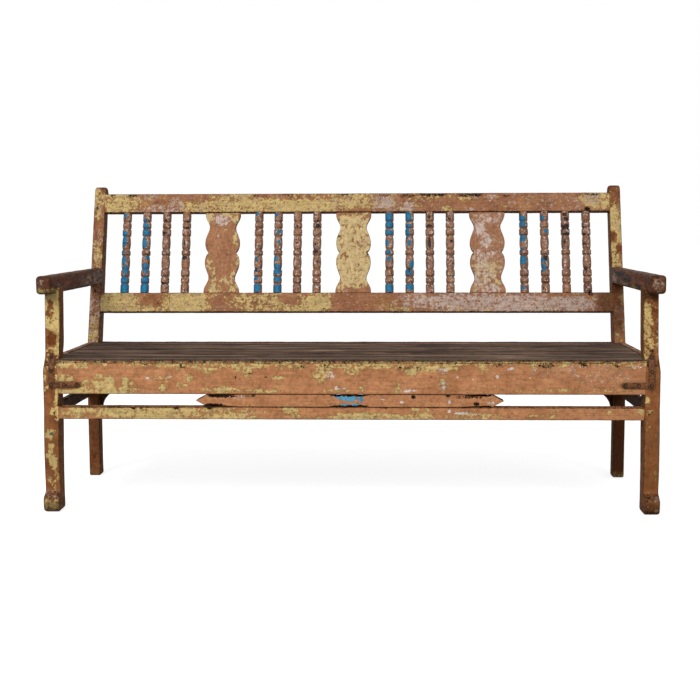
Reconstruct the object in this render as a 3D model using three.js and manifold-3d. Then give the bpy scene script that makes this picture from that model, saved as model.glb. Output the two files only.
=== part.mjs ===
// An old painted wooden bench with arms, turned spindles and fretted splats in a raked back.
// Millimetres. X runs along the bench, Y from front to back, Z up.

import * as THREE from 'three';
import { mergeVertices } from 'three/addons/utils/BufferGeometryUtils.js';
import Module from 'manifold-3d';

const wasm = await Module();
wasm.setup();

// Driving dimensions
const benchWidth = 1778;
const seatDepth = 503;
const seatHeight = 447;
// Level of the post tops before their corners are rounded
const postTopHeight = 965;
const armUnderside = 641.5;
const bendHeight = 390;
const rakeDegrees = 16.8;

// Stock sizes of the main members
const legWidth = 42.5;
const legDepth = 54;
const postWidth = 38;
const seatRailHeight = 101;
const frontRailDepth = 44;
const sideRailWidth = 38;
const backRailDepth = 30;
const backRailHeight = 160;
const stretcherLevel = 272;
const stretcherHeight = 37;
const railThickness = 25;
const railHeight = 66.5;
const slatThickness = 18;

// Fits
const clearance = 0.3;
const overrun = 20;
const curveSteps = 6;
const cornerSteps = 3;

const rake = THREE.MathUtils.degToRad(rakeDegrees);
const outerFace = benchWidth / 2;
const legInner = outerFace - legWidth;
const postInner = outerFace - postWidth;
const seatRailBottom = seatHeight - seatRailHeight;
const slatUnderside = seatHeight - slatThickness;
const stretcherTop = stretcherLevel + stretcherHeight;
const xAxis = new THREE.Vector3(1, 0, 0);
const yAxis = new THREE.Vector3(0, 1, 0);
const zAxis = new THREE.Vector3(0, 0, 1);

// Paint and wood
const salmonPaint = new THREE.MeshStandardMaterial({ color: 0xb07c5a, roughness: 0.75, flatShading: true });
const ochrePaint = new THREE.MeshStandardMaterial({ color: 0xc4ab64, roughness: 0.75, flatShading: true });
const bluePaint = new THREE.MeshStandardMaterial({ color: 0x2a8cc0, roughness: 0.7, flatShading: true });
const brownPaint = new THREE.MeshStandardMaterial({ color: 0x7a5238, roughness: 0.75, flatShading: true });
const wornArmWood = new THREE.MeshStandardMaterial({ color: 0x4a3028, roughness: 0.55, flatShading: true });
const greySeatWood = new THREE.MeshStandardMaterial({ color: 0x5a4a42, roughness: 0.85, flatShading: true });
const rustyIron = new THREE.MeshStandardMaterial({
  color: 0x6b4530,
  roughness: 0.7,
  metalness: 0.6,
  flatShading: true,
});

const bench = new THREE.Group();

// The back is built upright in this group, which then leans back at the bend of the posts.
const leaningBack = new THREE.Group();
leaningBack.position.set(0, seatDepth, bendHeight);
leaningBack.rotation.x = -rake;
leaningBack.updateMatrix();
bench.add(leaningBack);

// How far up the slope of the back a level lies.
const upSlope = (level) => (level - bendHeight) / Math.cos(rake);

// Where the raked front face of the back posts lies at a level above the bend.
const postFaceAt = (level) => seatDepth + (level - bendHeight) * Math.tan(rake);

// A closed geometry as a solid that can be joined and cut.
function solidOf(geometry) {
  const bare = geometry.clone();
  bare.deleteAttribute('normal');
  bare.deleteAttribute('uv');
  const merged = mergeVertices(bare);
  const corners = merged.index.array;
  const kept = [];
  for (let i = 0; i < corners.length; i += 3) {
    const [a, b, c] = corners.slice(i, i + 3);
    if (a !== b && b !== c && c !== a) kept.push(a, b, c);
  }
  return new wasm.Manifold(new wasm.Mesh({
    numProp: 3,
    vertProperties: merged.attributes.position.array,
    triVerts: new Uint32Array(kept),
  }));
}

function geometryOf(solid) {
  const { vertProperties, triVerts } = solid.getMesh();
  const geometry = new THREE.BufferGeometry();
  geometry.setAttribute('position', new THREE.BufferAttribute(vertProperties, 3));
  geometry.setIndex(new THREE.BufferAttribute(triVerts, 1));
  return geometry;
}

// The same solid on the other side of the bench.
function mirrored(solid) {
  const geometry = geometryOf(solid);
  geometry.scale(-1, 1, 1);
  const corners = geometry.index.array;
  for (let i = 0; i < corners.length; i += 3) {
    [corners[i], corners[i + 1]] = [corners[i + 1], corners[i]];
  }
  return solidOf(geometry);
}

// A solid of the upright back, moved to where it lies once the back leans.
const leaned = (solid) => solidOf(geometryOf(solid).applyMatrix4(leaningBack.matrix));

// A solid moved by a vector.
const moved = (solid, x, y, z) => solidOf(geometryOf(solid).translate(x, y, z));

// A block between two opposite corners.
function block([x0, y0, z0], [x1, y1, z1]) {
  const geometry = new THREE.BoxGeometry(x1 - x0, y1 - y0, z1 - z0);
  geometry.translate((x0 + x1) / 2, (y0 + y1) / 2, (z0 + z1) / 2);
  return solidOf(geometry);
}

// The room that a block needs in the piece that takes it.
function roomFor([x0, y0, z0], [x1, y1, z1]) {
  return block(
    [x0 - clearance, y0 - clearance, z0 - clearance],
    [x1 + clearance, y1 + clearance, z1 + clearance],
  );
}

function extrusion(shape, length, basis) {
  const options = { depth: length, bevelEnabled: false, curveSegments: curveSteps };
  return new THREE.ExtrudeGeometry(shape, options).applyMatrix4(new THREE.Matrix4().makeBasis(...basis));
}

// Prisms from an outline drawn in Y and Z, or in X and Z.
const alongX = (shape, x0, x1) => {
  return solidOf(extrusion(shape, x1 - x0, [yAxis, zAxis, xAxis]).translate(x0, 0, 0));
};
const alongY = (shape, y0, y1) => {
  const backwards = yAxis.clone().negate();
  return solidOf(extrusion(shape, y1 - y0, [xAxis, zAxis, backwards]).translate(0, y1, 0));
};

// A rectangle with its corners rounded.
function roundedRectangle(x0, x1, y0, y1, radius) {
  const shape = new THREE.Shape();
  shape.moveTo(x0 + radius, y0);
  shape.lineTo(x1 - radius, y0);
  shape.quadraticCurveTo(x1, y0, x1, y0 + radius);
  shape.lineTo(x1, y1 - radius);
  shape.quadraticCurveTo(x1, y1, x1 - radius, y1);
  shape.lineTo(x0 + radius, y1);
  shape.quadraticCurveTo(x0, y1, x0, y1 - radius);
  shape.lineTo(x0, y0 + radius);
  shape.quadraticCurveTo(x0, y0, x0 + radius, y0);
  return new THREE.Shape(shape.getPoints(cornerSteps));
}

function cutAll(solid, cutters) {
  return cutters.reduce((rest, cutter) => rest.subtract(cutter), solid);
}

function joinAll(solids) {
  return solids.reduce((whole, solid) => whole.add(solid));
}

function place(name, solid, material, group = bench) {
  const mesh = new THREE.Mesh(geometryOf(solid), material);
  mesh.name = name;
  group.add(mesh);
}

function placePair(name, rightSolid, material) {
  place(`${name}_right`, rightSolid, material);
  place(`${name}_left`, mirrored(rightSolid), material);
}

// Tenons of the right-hand end of each member, as pairs of corners
const tenonThickness = 14;
const tenonSet = 14;
const frontTenonSetback = 20;
const frontTenonLength = 26;
const sideTenonLength = 13;
const sideTenonInset = 11;
const deepTenonLength = 24;
const backTenonSet = 10;
const seatTenonBottom = seatRailBottom + tenonSet;
const seatTenonTop = seatHeight - tenonSet;
const ledgeTenonTop = slatUnderside - tenonSet / 2;
const frontRailTenon = [
  [legInner - overrun, frontTenonSetback, seatTenonBottom],
  [legInner + frontTenonLength, frontTenonSetback + tenonThickness, seatTenonTop],
];
const sideRailTenonInner = postInner + sideTenonInset;
const sideRailTenonFront = [
  [sideRailTenonInner, legDepth - sideTenonLength, seatTenonBottom],
  [sideRailTenonInner + tenonThickness, legDepth + overrun, ledgeTenonTop],
];
const sideRailTenonBack = [
  [sideRailTenonInner, seatDepth - overrun, seatTenonBottom],
  [sideRailTenonInner + tenonThickness, seatDepth + deepTenonLength, ledgeTenonTop],
];

// Back seat rail, between the posts and just behind their front faces
const backRailFront = postFaceAt(seatHeight) + clearance;
const backRailTenonLength = 17;
const backRailTenon = [
  [postInner - overrun, backRailFront + backTenonSet, seatTenonBottom],
  [postInner + backRailTenonLength, backRailFront + backTenonSet + tenonThickness, seatTenonTop],
];
const backRailBottom = seatHeight - backRailHeight;

// Stretchers
const stretcherSet = 1;
const stretcherDepth = 42;
const stretcherTenonInset = 6.5;
const sideStretcherWidth = 18;
const sideStretcherSet = 1;
const sideStretcherTenonThickness = 9;
const stretcherTenon = [
  [legInner - overrun, tenonSet, stretcherLevel + stretcherTenonInset],
  [legInner + frontTenonLength, tenonSet + tenonThickness, stretcherTop - stretcherTenonInset],
];
const sideStretcherOuter = outerFace - sideStretcherSet;
const sideStretcherInner = sideStretcherOuter - sideStretcherWidth;
const sideStretcherTenonInner = (sideStretcherOuter + sideStretcherInner - sideStretcherTenonThickness) / 2;
const sideStretcherTenonOuter = sideStretcherTenonInner + sideStretcherTenonThickness;
const sideStretcherTenonFront = [
  [sideStretcherTenonInner, legDepth - sideTenonLength, stretcherLevel + stretcherTenonInset],
  [sideStretcherTenonOuter, legDepth + overrun, stretcherTop - stretcherTenonInset],
];
const sideStretcherTenonBack = [
  [sideStretcherTenonInner, seatDepth - overrun, stretcherLevel + stretcherTenonInset],
  [sideStretcherTenonOuter, seatDepth + sideTenonLength, stretcherTop - stretcherTenonInset],
];

// Arms
const armWidth = 45.5;
const armHeight = 49;
const armReach = 45;
const armRound = 10;
const armNose = 13;
const armTop = armUnderside + armHeight;
const armTenonWidth = 20;
const armTenonHeight = 26;
const armEndTenonLength = 18;
const armMiddle = legInner + armWidth / 2;
const armEndLevel = armUnderside + armHeight / 2;
const armEndTenonBottom = armEndLevel - armTenonWidth / 2;
const armEndTenon = [
  [armMiddle - tenonThickness / 2, postFaceAt(armUnderside) - overrun, armEndTenonBottom],
  [
    armMiddle + tenonThickness / 2,
    postFaceAt(armEndLevel) + armEndTenonLength,
    armEndTenonBottom + armTenonWidth,
  ],
];

// The step of the front legs from the knee block back to the upright that carries the arm
const uprightSet = 14;
const uprightDepth = 50;
const shoulderNarrowing = 4.5;
const uprightNarrowing = 8;
const shoulderBottom = 410;
const shoulderTop = 462;
const legFaceAt = (level) => uprightSet * THREE.MathUtils.smoothstep(level, shoulderBottom, shoulderTop);
const shoulderLevels = Array.from(
  { length: curveSteps + 1 },
  (_, i) => THREE.MathUtils.lerp(shoulderBottom, shoulderTop, i / curveSteps),
);
const uprightBack = uprightSet + uprightDepth;
const uprightOuter = outerFace - uprightNarrowing;
const legTenonHalf = armTenonWidth / 2;
const legTenonX = (legInner + uprightOuter) / 2;
const legTenonY = (uprightSet + uprightBack) / 2;
const legTenon = [
  [legTenonX - legTenonHalf, legTenonY - legTenonHalf, armUnderside - overrun],
  [legTenonX + legTenonHalf, legTenonY + legTenonHalf, armUnderside + armTenonHeight],
];

// Rails of the back, in the upright frame of the leaning group: Z is the way up the slope
const earHeight = 26.5;
const lowerRailShare = 0.1908;
const lowerRailLevel = THREE.MathUtils.lerp(seatHeight, postTopHeight, lowerRailShare);
const topRailTop = upSlope(postTopHeight) - earHeight;
const topRailBottom = topRailTop - railHeight;
const lowerRailBottom = upSlope(lowerRailLevel);
const lowerRailTop = lowerRailBottom + railHeight;
const railTenonSet = 7;
const railTenonThickness = 11;
const railTenon = (bottom) => [
  [postInner - overrun, railTenonSet, bottom + tenonSet],
  [postInner + deepTenonLength, railTenonSet + railTenonThickness, bottom + railHeight - tenonSet],
];

// Screws of the corner plates: a round head whose face is at the origin, and a shank along Y
const screwSides = 8;
const screwRadius = 2.2;
const screwHeadRadius = 4.2;
const screwHeadHeight = 2.2;
const screwLength = 22;

function screw(gap) {
  const profile = [
    [0, -gap],
    [screwHeadRadius - screwHeadHeight / 2 + gap, -gap],
    [screwHeadRadius + gap, screwHeadHeight / 2],
    [screwHeadRadius + gap, screwHeadHeight + gap],
    [screwRadius + gap, screwHeadHeight + gap],
    [screwRadius + gap, screwLength + gap],
    [0, screwLength + gap],
  ];
  return new THREE.LatheGeometry(profile.map(([r, y]) => new THREE.Vector2(r, y)), screwSides);
}

// Wooden pegs that lock the tenons of the front stretcher, driven in from the front
const pegRadius = 4;
const pegLength = 34;
const pegSides = 8;
function stretcherPeg(gap) {
  const radius = pegRadius + gap;
  const geometry = new THREE.CylinderGeometry(radius, radius, pegLength + gap + gap, pegSides);
  const x = legInner + frontTenonLength / 2;
  return solidOf(geometry.translate(x, pegLength / 2, stretcherLevel + stretcherHeight / 2));
}

// Corner plates: one iron strap bent to an L on each front corner, following the step of the leg
const plateWidth = 17;
const plateThickness = 3;
const plateInset = 15;
const plateRise = 97;
const plateRun = 92;
const plateLevel = 365;
const plateOuter = outerFace - plateInset;
const plateTop = plateLevel + plateRise;
const plateInnerEnd = plateOuter - plateRun;
const screwSpots = [
  [plateOuter - plateWidth / 2, plateTop - plateWidth / 2],
  [plateOuter - plateWidth / 2, (plateTop + plateLevel) / 2],
  [plateOuter - plateWidth / 2, plateLevel + plateWidth / 2],
  [(plateOuter + plateInnerEnd) / 2, plateLevel + plateWidth / 2],
  [plateInnerEnd + plateWidth / 2, plateLevel + plateWidth / 2],
];
const plateScrews = (gap) => screwSpots.map(([x, z]) => {
  const head = legFaceAt(z) - clearance - plateThickness - screwHeadHeight / 2;
  return solidOf(screw(gap).translate(x, head, z));
});

// Front legs: a scroll foot, a slim ankle, a knee block at the seat and an upright for the arm
function frontLeg() {
  const toeReach = 32;
  const toeHeight = 38;
  const toeRound = 28;
  const ankleHeight = 66;
  const ankleReach = 4;
  const calfReach = 14;
  const calfTop = 240;
  const kneeBottom = 300;
  const heelSet = 9;
  const heelRound = 14;
  const sweepSet = 2;
  const sweepRise = 52;
  const sweepBottom = seatHeight + sweepSet;
  const sweepMiddle = sweepBottom + sweepRise / 2;
  const side = new THREE.Shape();
  side.moveTo(toeRound - toeReach, 0);
  side.lineTo(legDepth - heelSet - heelRound, 0);
  side.quadraticCurveTo(legDepth - heelSet, 0, legDepth - heelSet, heelRound);
  side.lineTo(legDepth - heelSet, ankleHeight);
  side.quadraticCurveTo(legDepth - heelSet, (ankleHeight + calfTop) / 2, legDepth, calfTop);
  side.lineTo(legDepth, sweepBottom);
  side.bezierCurveTo(legDepth, sweepMiddle, uprightBack, sweepMiddle, uprightBack, sweepBottom + sweepRise);
  side.lineTo(uprightBack, armUnderside);
  side.lineTo(uprightSet, armUnderside);
  for (const level of shoulderLevels.toReversed()) side.lineTo(legFaceAt(level), level);
  side.lineTo(0, kneeBottom);
  side.quadraticCurveTo(-calfReach, (kneeBottom + ankleHeight) / 2, -ankleReach, ankleHeight);
  const instep = (ankleHeight + toeHeight) / 2;
  side.bezierCurveTo(-ankleReach, instep, -toeReach, instep, -toeReach, toeHeight);
  side.lineTo(-toeReach, toeRound);
  side.quadraticCurveTo(-toeReach, 0, toeRound - toeReach, 0);

  const front = new THREE.Shape();
  front.moveTo(legInner, -overrun);
  front.lineTo(outerFace, -overrun);
  front.lineTo(outerFace, shoulderBottom);
  front.lineTo(outerFace - shoulderNarrowing, shoulderTop);
  front.lineTo(uprightOuter, armUnderside);
  front.lineTo(uprightOuter, armUnderside + overrun);
  front.lineTo(legInner, armUnderside + overrun);

  const blank = alongX(side, legInner - overrun, outerFace + overrun);
  const shaped = blank.intersect(alongY(front, -toeReach - overrun, uprightBack + overrun));
  return cutAll(shaped.add(block(...legTenon)), [
    roomFor(...frontRailTenon),
    roomFor(...sideRailTenonFront),
    roomFor(...stretcherTenon),
    roomFor(...sideStretcherTenonFront),
    stretcherPeg(clearance),
    ...plateScrews(clearance),
  ]);
}
placePair('front_leg', frontLeg(), salmonPaint);

// Arms: a stout bar with worn round edges, mortised for the leg and tenoned into the post
function arm() {
  const underside = armUnderside + clearance;
  const endGap = clearance / Math.cos(rake);
  const side = new THREE.Shape();
  side.moveTo(armNose - armReach, underside);
  side.lineTo(postFaceAt(underside) - endGap, underside);
  side.lineTo(postFaceAt(armTop) - endGap, armTop);
  side.lineTo(armNose - armReach, armTop);
  side.quadraticCurveTo(-armReach, armTop, -armReach, armTop - armNose);
  side.lineTo(-armReach, underside + armNose);
  side.quadraticCurveTo(-armReach, underside, armNose - armReach, underside);
  const section = roundedRectangle(legInner, legInner + armWidth, underside, armTop, armRound);
  const blank = alongX(side, legInner - overrun, legInner + armWidth + overrun);
  const shaped = blank.intersect(alongY(section, -armReach - overrun, postFaceAt(armTop) + overrun));
  return shaped.add(block(...armEndTenon)).subtract(roomFor(...legTenon));
}
placePair('arm', arm(), wornArmWood);

// Cross bearers under the slats
const bearerPlace = 290;
const bearerWidth = 40;
const bearerHeight = 60;
const bearerTenonLength = 12;
const bearerTop = slatUnderside - clearance;
const bearerBottom = bearerTop - bearerHeight;
const bearerTenons = [-bearerPlace, bearerPlace].map((x) => [
  [x - tenonThickness / 2, frontRailDepth - bearerTenonLength, bearerBottom + tenonSet],
  [x + tenonThickness / 2, backRailFront + bearerTenonLength, bearerTop - tenonSet],
]);
const bearerRooms = bearerTenons.map((corners) => roomFor(...corners));
const ledgeWidth = 14;
const slatEnd = postInner + ledgeWidth;
const slatCount = 7;
const slatGap = 2;
const slatsFront = frontRailDepth + clearance;
const slatsBack = backRailFront - clearance;
const slatWidth = (slatsBack - slatsFront - slatGap * (slatCount - 1)) / slatCount;
const slatFront = (i) => slatsFront + i * (slatWidth + slatGap);
// Seat slats, running lengthwise; the first is notched for the front legs and the last for the posts
function slat(i) {
  const end = slatEnd - clearance;
  const front = slatFront(i);
  const back = front + slatWidth;
  const whole = block([-end, front, slatUnderside], [end, back, seatHeight]);
  const legRoom = block(
    [legInner - clearance, -overrun, slatUnderside - overrun],
    [slatEnd + overrun, legDepth + clearance, seatHeight + overrun],
  );
  const postRoom = block(
    [postInner - clearance, postFaceAt(slatUnderside) - clearance, slatUnderside - overrun],
    [slatEnd + overrun, slatsBack + overrun, seatHeight + overrun],
  );
  return cutAll(whole, [legRoom, mirrored(legRoom), postRoom, mirrored(postRoom)]);
}
for (let i = 0; i < slatCount; i += 1) place(`seat_slat_${i + 1}`, slat(i), greySeatWood);

bearerTenons.forEach(([low, high], i) => {
  const x = (low[0] + high[0]) / 2;
  const bar = block(
    [x - bearerWidth / 2, frontRailDepth + clearance, bearerBottom],
    [x + bearerWidth / 2, backRailFront - clearance, bearerTop],
  );
  place(`seat_bearer_${i + 1}`, bar.add(block(low, high)), brownPaint);
});

// Side seat rails, rebated along the inner top edge for the ends of the slats
function sideSeatRail() {
  const bar = block(
    [outerFace - sideRailWidth, legDepth + clearance, seatRailBottom],
    [outerFace, postFaceAt(seatHeight) + overrun, seatHeight],
  );
  const rebate = block(
    [postInner - overrun, -overrun, slatUnderside - clearance],
    [slatEnd, slatsBack + overrun, seatHeight + overrun],
  );
  const beyondPost = slatsBack + seatDepth;
  const postEdge = new THREE.Shape();
  postEdge.moveTo(seatDepth - clearance, 0);
  postEdge.lineTo(seatDepth - clearance, bendHeight);
  postEdge.lineTo(postFaceAt(seatHeight + overrun) - clearance, seatHeight + overrun);
  postEdge.lineTo(beyondPost, seatHeight + overrun);
  postEdge.lineTo(beyondPost, 0);
  const squared = bar.subtract(alongX(postEdge, postInner - overrun, outerFace + overrun));
  const tenons = [block(...sideRailTenonFront), block(...sideRailTenonBack)];
  return joinAll([squared, ...tenons]).subtract(rebate);
}
placePair('side_seat_rail', sideSeatRail(), brownPaint);

// Carved board between the front rail and the stretcher, keyed into both by short stubs
const boardLength = 890;
const boardSet = 3;
const boardThickness = 38;
const boardStubPlace = 200;
const boardStubWidth = 30;
const boardStubThickness = 8;
const boardStubLength = 8;
const boardTop = seatRailBottom - clearance;
const boardBottom = stretcherTop + clearance;
const boardStubFront = boardSet + (boardThickness - boardStubThickness) / 2;
const boardStubs = [-boardStubPlace, boardStubPlace].map((x) => [
  [x - boardStubWidth / 2, boardStubFront, boardBottom - boardStubLength],
  [x + boardStubWidth / 2, boardStubFront + boardStubThickness, boardTop + boardStubLength],
]);
const boardRooms = boardStubs.map((corners) => roomFor(...corners));

// The closed outline made of one quarter, drawn from the top middle to the far end, and its mirror images.
function fourfold(quarter, middle) {
  const points = quarter.getPoints(curveSteps);
  const below = points.toReversed().slice(1).map(({ x, y }) => new THREE.Vector2(x, -y));
  const right = [...points, ...below];
  const left = right.toReversed().slice(1, -1).map(({ x, y }) => new THREE.Vector2(-x, y));
  return new THREE.Shape([...right, ...left].map(({ x, y }) => new THREE.Vector2(x, middle + y)));
}

function carvedBoard() {
  const headLength = 33;
  const headBack = 43;
  const neckDepth = 6;
  const neckLength = 86;
  const hollowReach = 47;
  const hollowDepth = 6;
  const hollowStep = 7;
  const lobePlace = 15;
  const lobeHalf = 10;
  const tip = boardLength / 2;
  const half = (boardTop - boardBottom) / 2;
  const hollow = half - hollowDepth;
  const quarter = new THREE.Path();
  quarter.moveTo(0, hollow);
  quarter.lineTo(lobePlace - lobeHalf, hollow);
  quarter.quadraticCurveTo(lobePlace - lobeHalf, half, lobePlace, half);
  quarter.quadraticCurveTo(lobePlace + lobeHalf, half, lobePlace + lobeHalf, hollow);
  quarter.lineTo(hollowReach - hollowStep, hollow);
  quarter.lineTo(hollowReach, half);
  quarter.lineTo(tip - headBack - neckLength, half);
  quarter.lineTo(tip - headBack, half - neckDepth);
  quarter.lineTo(tip - headLength, half);
  quarter.lineTo(tip, 0);
  const plank = alongY(fourfold(quarter, (boardTop + boardBottom) / 2), boardSet, boardSet + boardThickness);
  return joinAll([plank, ...boardStubs.map((corners) => block(...corners))]);
}
place('carved_board', carvedBoard(), salmonPaint);

// Front seat rail, with the worn nosing along its top edge
function frontSeatRail() {
  const nosing = 9;
  const end = legInner - clearance;
  const section = new THREE.Shape();
  section.moveTo(0, seatRailBottom);
  section.lineTo(frontRailDepth, seatRailBottom);
  section.lineTo(frontRailDepth, seatHeight);
  section.lineTo(nosing, seatHeight);
  section.quadraticCurveTo(0, seatHeight, 0, seatHeight - nosing);
  const tenon = block(...frontRailTenon);
  const screws = plateScrews(clearance);
  const whole = joinAll([alongX(section, -end, end), tenon, mirrored(tenon)]);
  return cutAll(whole, [...bearerRooms, ...boardRooms, ...screws, ...screws.map(mirrored)]);
}
place('front_seat_rail', frontSeatRail(), ochrePaint);

function frontStretcher() {
  const end = legInner - clearance;
  const bar = block(
    [-end, stretcherSet, stretcherLevel],
    [end, stretcherSet + stretcherDepth, stretcherTop],
  );
  const tenon = block(...stretcherTenon);
  const peg = stretcherPeg(clearance);
  return cutAll(joinAll([bar, tenon, mirrored(tenon)]), [...boardRooms, peg, mirrored(peg)]);
}
place('front_stretcher', frontStretcher(), salmonPaint);

// Side stretchers, thin rails flush with the outer faces of the legs
function sideStretcher() {
  const bar = block(
    [sideStretcherInner, legDepth + clearance, stretcherLevel],
    [sideStretcherOuter, seatDepth - clearance, stretcherTop],
  );
  return joinAll([bar, block(...sideStretcherTenonFront), block(...sideStretcherTenonBack)]);
}
placePair('side_stretcher', sideStretcher(), brownPaint);

// Curved brackets in the corners between the posts and the back seat rail
const bracketRadius = 58;
const bracketTip = 4.5;
const bracketThickness = 20;
const bracketMiddle = backRailFront + backRailDepth / 2;
const bracketTop = backRailBottom - clearance;
const bracketOuter = postInner - clearance;
const bracketReach = bracketRadius + bracketTip;
function rearBracket() {
  const shape = new THREE.Shape();
  shape.moveTo(bracketOuter, bracketTop);
  shape.lineTo(bracketOuter - bracketReach, bracketTop);
  shape.lineTo(bracketOuter - bracketReach, bracketTop - bracketTip);
  shape.absarc(bracketOuter - bracketReach, bracketTop - bracketReach, bracketRadius, Math.PI / 2, 0, true);
  shape.lineTo(bracketOuter, bracketTop - bracketReach);
  return alongY(shape, bracketMiddle - bracketThickness / 2, bracketMiddle + bracketThickness / 2);
}
placePair('rear_bracket', rearBracket(), brownPaint);

function backSeatRail() {
  const bar = block(
    [clearance - postInner, backRailFront, backRailBottom],
    [postInner - clearance, backRailFront + backRailDepth, seatHeight],
  );
  const tenon = block(...backRailTenon);
  return cutAll(joinAll([bar, tenon, mirrored(tenon)]), bearerRooms);
}
place('back_seat_rail', backSeatRail(), brownPaint);

// Back posts: upright below the seat and leaning above it, deepest at the bend, with rounded ears
function backPost() {
  const footDepth = 44;
  const seatLevelDepth = 62;
  const topDepth = 44;
  const bendRound = 30;
  const sweepStart = 150;
  const earRound = 10;
  const earBackRound = 14;
  const back = new THREE.Vector2(Math.cos(rake), -Math.sin(rake));
  const down = new THREE.Vector2(-Math.sin(rake), -Math.cos(rake));
  const from = (corner, way, length) => corner.clone().addScaledVector(way, length);
  const topFront = new THREE.Vector2(postFaceAt(postTopHeight), postTopHeight);
  const topBack = from(topFront, back, topDepth);
  const earFrontStart = from(topFront, down, earRound);
  const earFrontEnd = from(topFront, back, earRound);
  const earBackStart = from(topBack, back, -earBackRound);
  const earBackEnd = from(topBack, down, earBackRound);
  const seatBack = new THREE.Vector2(postFaceAt(seatHeight) + seatLevelDepth, seatHeight);
  const footBack = seatDepth + footDepth;
  const backSlope = (earBackEnd.x - seatBack.x) / (earBackEnd.y - seatBack.y);
  const sweepCorner = seatHeight - (seatBack.x - footBack) / backSlope;
  const side = new THREE.Shape();
  side.moveTo(seatDepth, 0);
  side.lineTo(seatDepth, bendHeight - bendRound);
  side.quadraticCurveTo(seatDepth, bendHeight, postFaceAt(bendHeight + bendRound), bendHeight + bendRound);
  side.lineTo(earFrontStart.x, earFrontStart.y);
  side.quadraticCurveTo(topFront.x, topFront.y, earFrontEnd.x, earFrontEnd.y);
  side.lineTo(earBackStart.x, earBackStart.y);
  side.quadraticCurveTo(topBack.x, topBack.y, earBackEnd.x, earBackEnd.y);
  side.lineTo(seatBack.x, seatBack.y);
  side.quadraticCurveTo(footBack, sweepCorner, footBack, sweepStart);
  side.lineTo(footBack, 0);

  const front = new THREE.Shape();
  front.moveTo(postInner, -overrun);
  front.lineTo(outerFace, -overrun);
  front.lineTo(outerFace, postTopHeight - earRound);
  front.quadraticCurveTo(outerFace, postTopHeight, outerFace - earRound, postTopHeight);
  front.lineTo(postInner + earRound, postTopHeight);
  front.quadraticCurveTo(postInner, postTopHeight, postInner, postTopHeight - earRound);

  const blank = alongX(side, postInner - overrun, outerFace + overrun);
  const shaped = blank.intersect(alongY(front, seatDepth - overrun, topBack.x + overrun));
  return cutAll(shaped, [
    roomFor(...sideRailTenonBack),
    roomFor(...backRailTenon),
    roomFor(...sideStretcherTenonBack),
    roomFor(...armEndTenon),
    leaned(roomFor(...railTenon(lowerRailBottom))),
    leaned(roomFor(...railTenon(topRailBottom))),
  ]);
}
placePair('back_post', backPost(), brownPaint);

// The spindles and splats share one run between the two rails of the back.
const barMiddle = railThickness / 2;
const barLow = lowerRailTop + clearance;
const barHigh = topRailBottom - clearance;
const barHalf = (barHigh - barLow) / 2;
const barCentre = (barHigh + barLow) / 2;

// Splats: flat boards sawn to a double lobe, tenoned into both rails
const splatPlaceShares = [-0.252, -0.0034, 0.2487];
const splatThickness = 14;
const splatTenonWidth = 70;
const splatTenonLength = 12;
const splatPlaces = splatPlaceShares.map((share) => benchWidth * share);
const splatFront = barMiddle - splatThickness / 2;
const splatTenon = (x) => [
  [x - splatTenonWidth / 2, splatFront, barLow - splatTenonLength],
  [x + splatTenonWidth / 2, splatFront + splatThickness, barHigh + splatTenonLength],
];

function splat(x) {
  const cuspHalf = 46;
  const lobeHalf = 58;
  const waistHalf = 44.5;
  const endHalf = 59.5;
  const cuspRoundShare = 0.07;
  const lobeShare = 0.24;
  const waistShare = 0.635;
  const endShare = 0.96;
  const lobe = barHalf * lobeShare;
  const waist = barHalf * waistShare;
  const flare = barHalf * endShare;
  const lobeToWaist = (lobe + waist) / 2;
  const waistToFlare = (waist + flare) / 2;
  // Drawn down one edge: from the top middle out to the corner, then down to the cusp.
  const quarter = new THREE.Path();
  quarter.moveTo(0, barHalf);
  quarter.lineTo(endHalf, barHalf);
  quarter.lineTo(endHalf, flare);
  quarter.bezierCurveTo(endHalf, waistToFlare, waistHalf, waistToFlare, waistHalf, waist);
  quarter.bezierCurveTo(waistHalf, lobeToWaist, lobeHalf, lobeToWaist, lobeHalf, lobe);
  quarter.quadraticCurveTo(lobeHalf, barHalf * cuspRoundShare, cuspHalf, 0);
  const plank = alongY(fourfold(quarter, barCentre), splatFront, splatFront + splatThickness);
  return moved(plank, x, 0, 0).add(block(...splatTenon(x)));
}
['left', 'middle', 'right'].forEach((side, i) => {
  place(`splat_${side}`, splat(splatPlaces[i]), [salmonPaint, ochrePaint, salmonPaint][i], leaningBack);
});

// Spindles: turned bars in four groups of four, with round tenons
const spindleSides = 8;
const spindlePitch = 68;
const groupSize = 4;
const blueInGroup = 2;
// Where each group stands and how far its spindles stand apart, as set out by hand
const groupPlaceShares = [-0.3787, -0.1278, 0.1217, 0.3759];
const groupPitchShares = [0.996, 0.965, 0.997, 1.022];
const spindleTenonRadius = 8;
const spindleTenonLength = 14;
const groupPlaces = groupPlaceShares.map((share) => benchWidth * share);
const inGroupSteps = Array.from({ length: groupSize }, (_, i) => i - (groupSize - 1) / 2);
const spindlePlaces = groupPlaces.flatMap((x, group) => {
  return inGroupSteps.map((step) => x + step * spindlePitch * groupPitchShares[group]);
});
const onBackAxis = (geometry, x) => solidOf(geometry.rotateX(Math.PI / 2).translate(x, barMiddle, 0));

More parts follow.
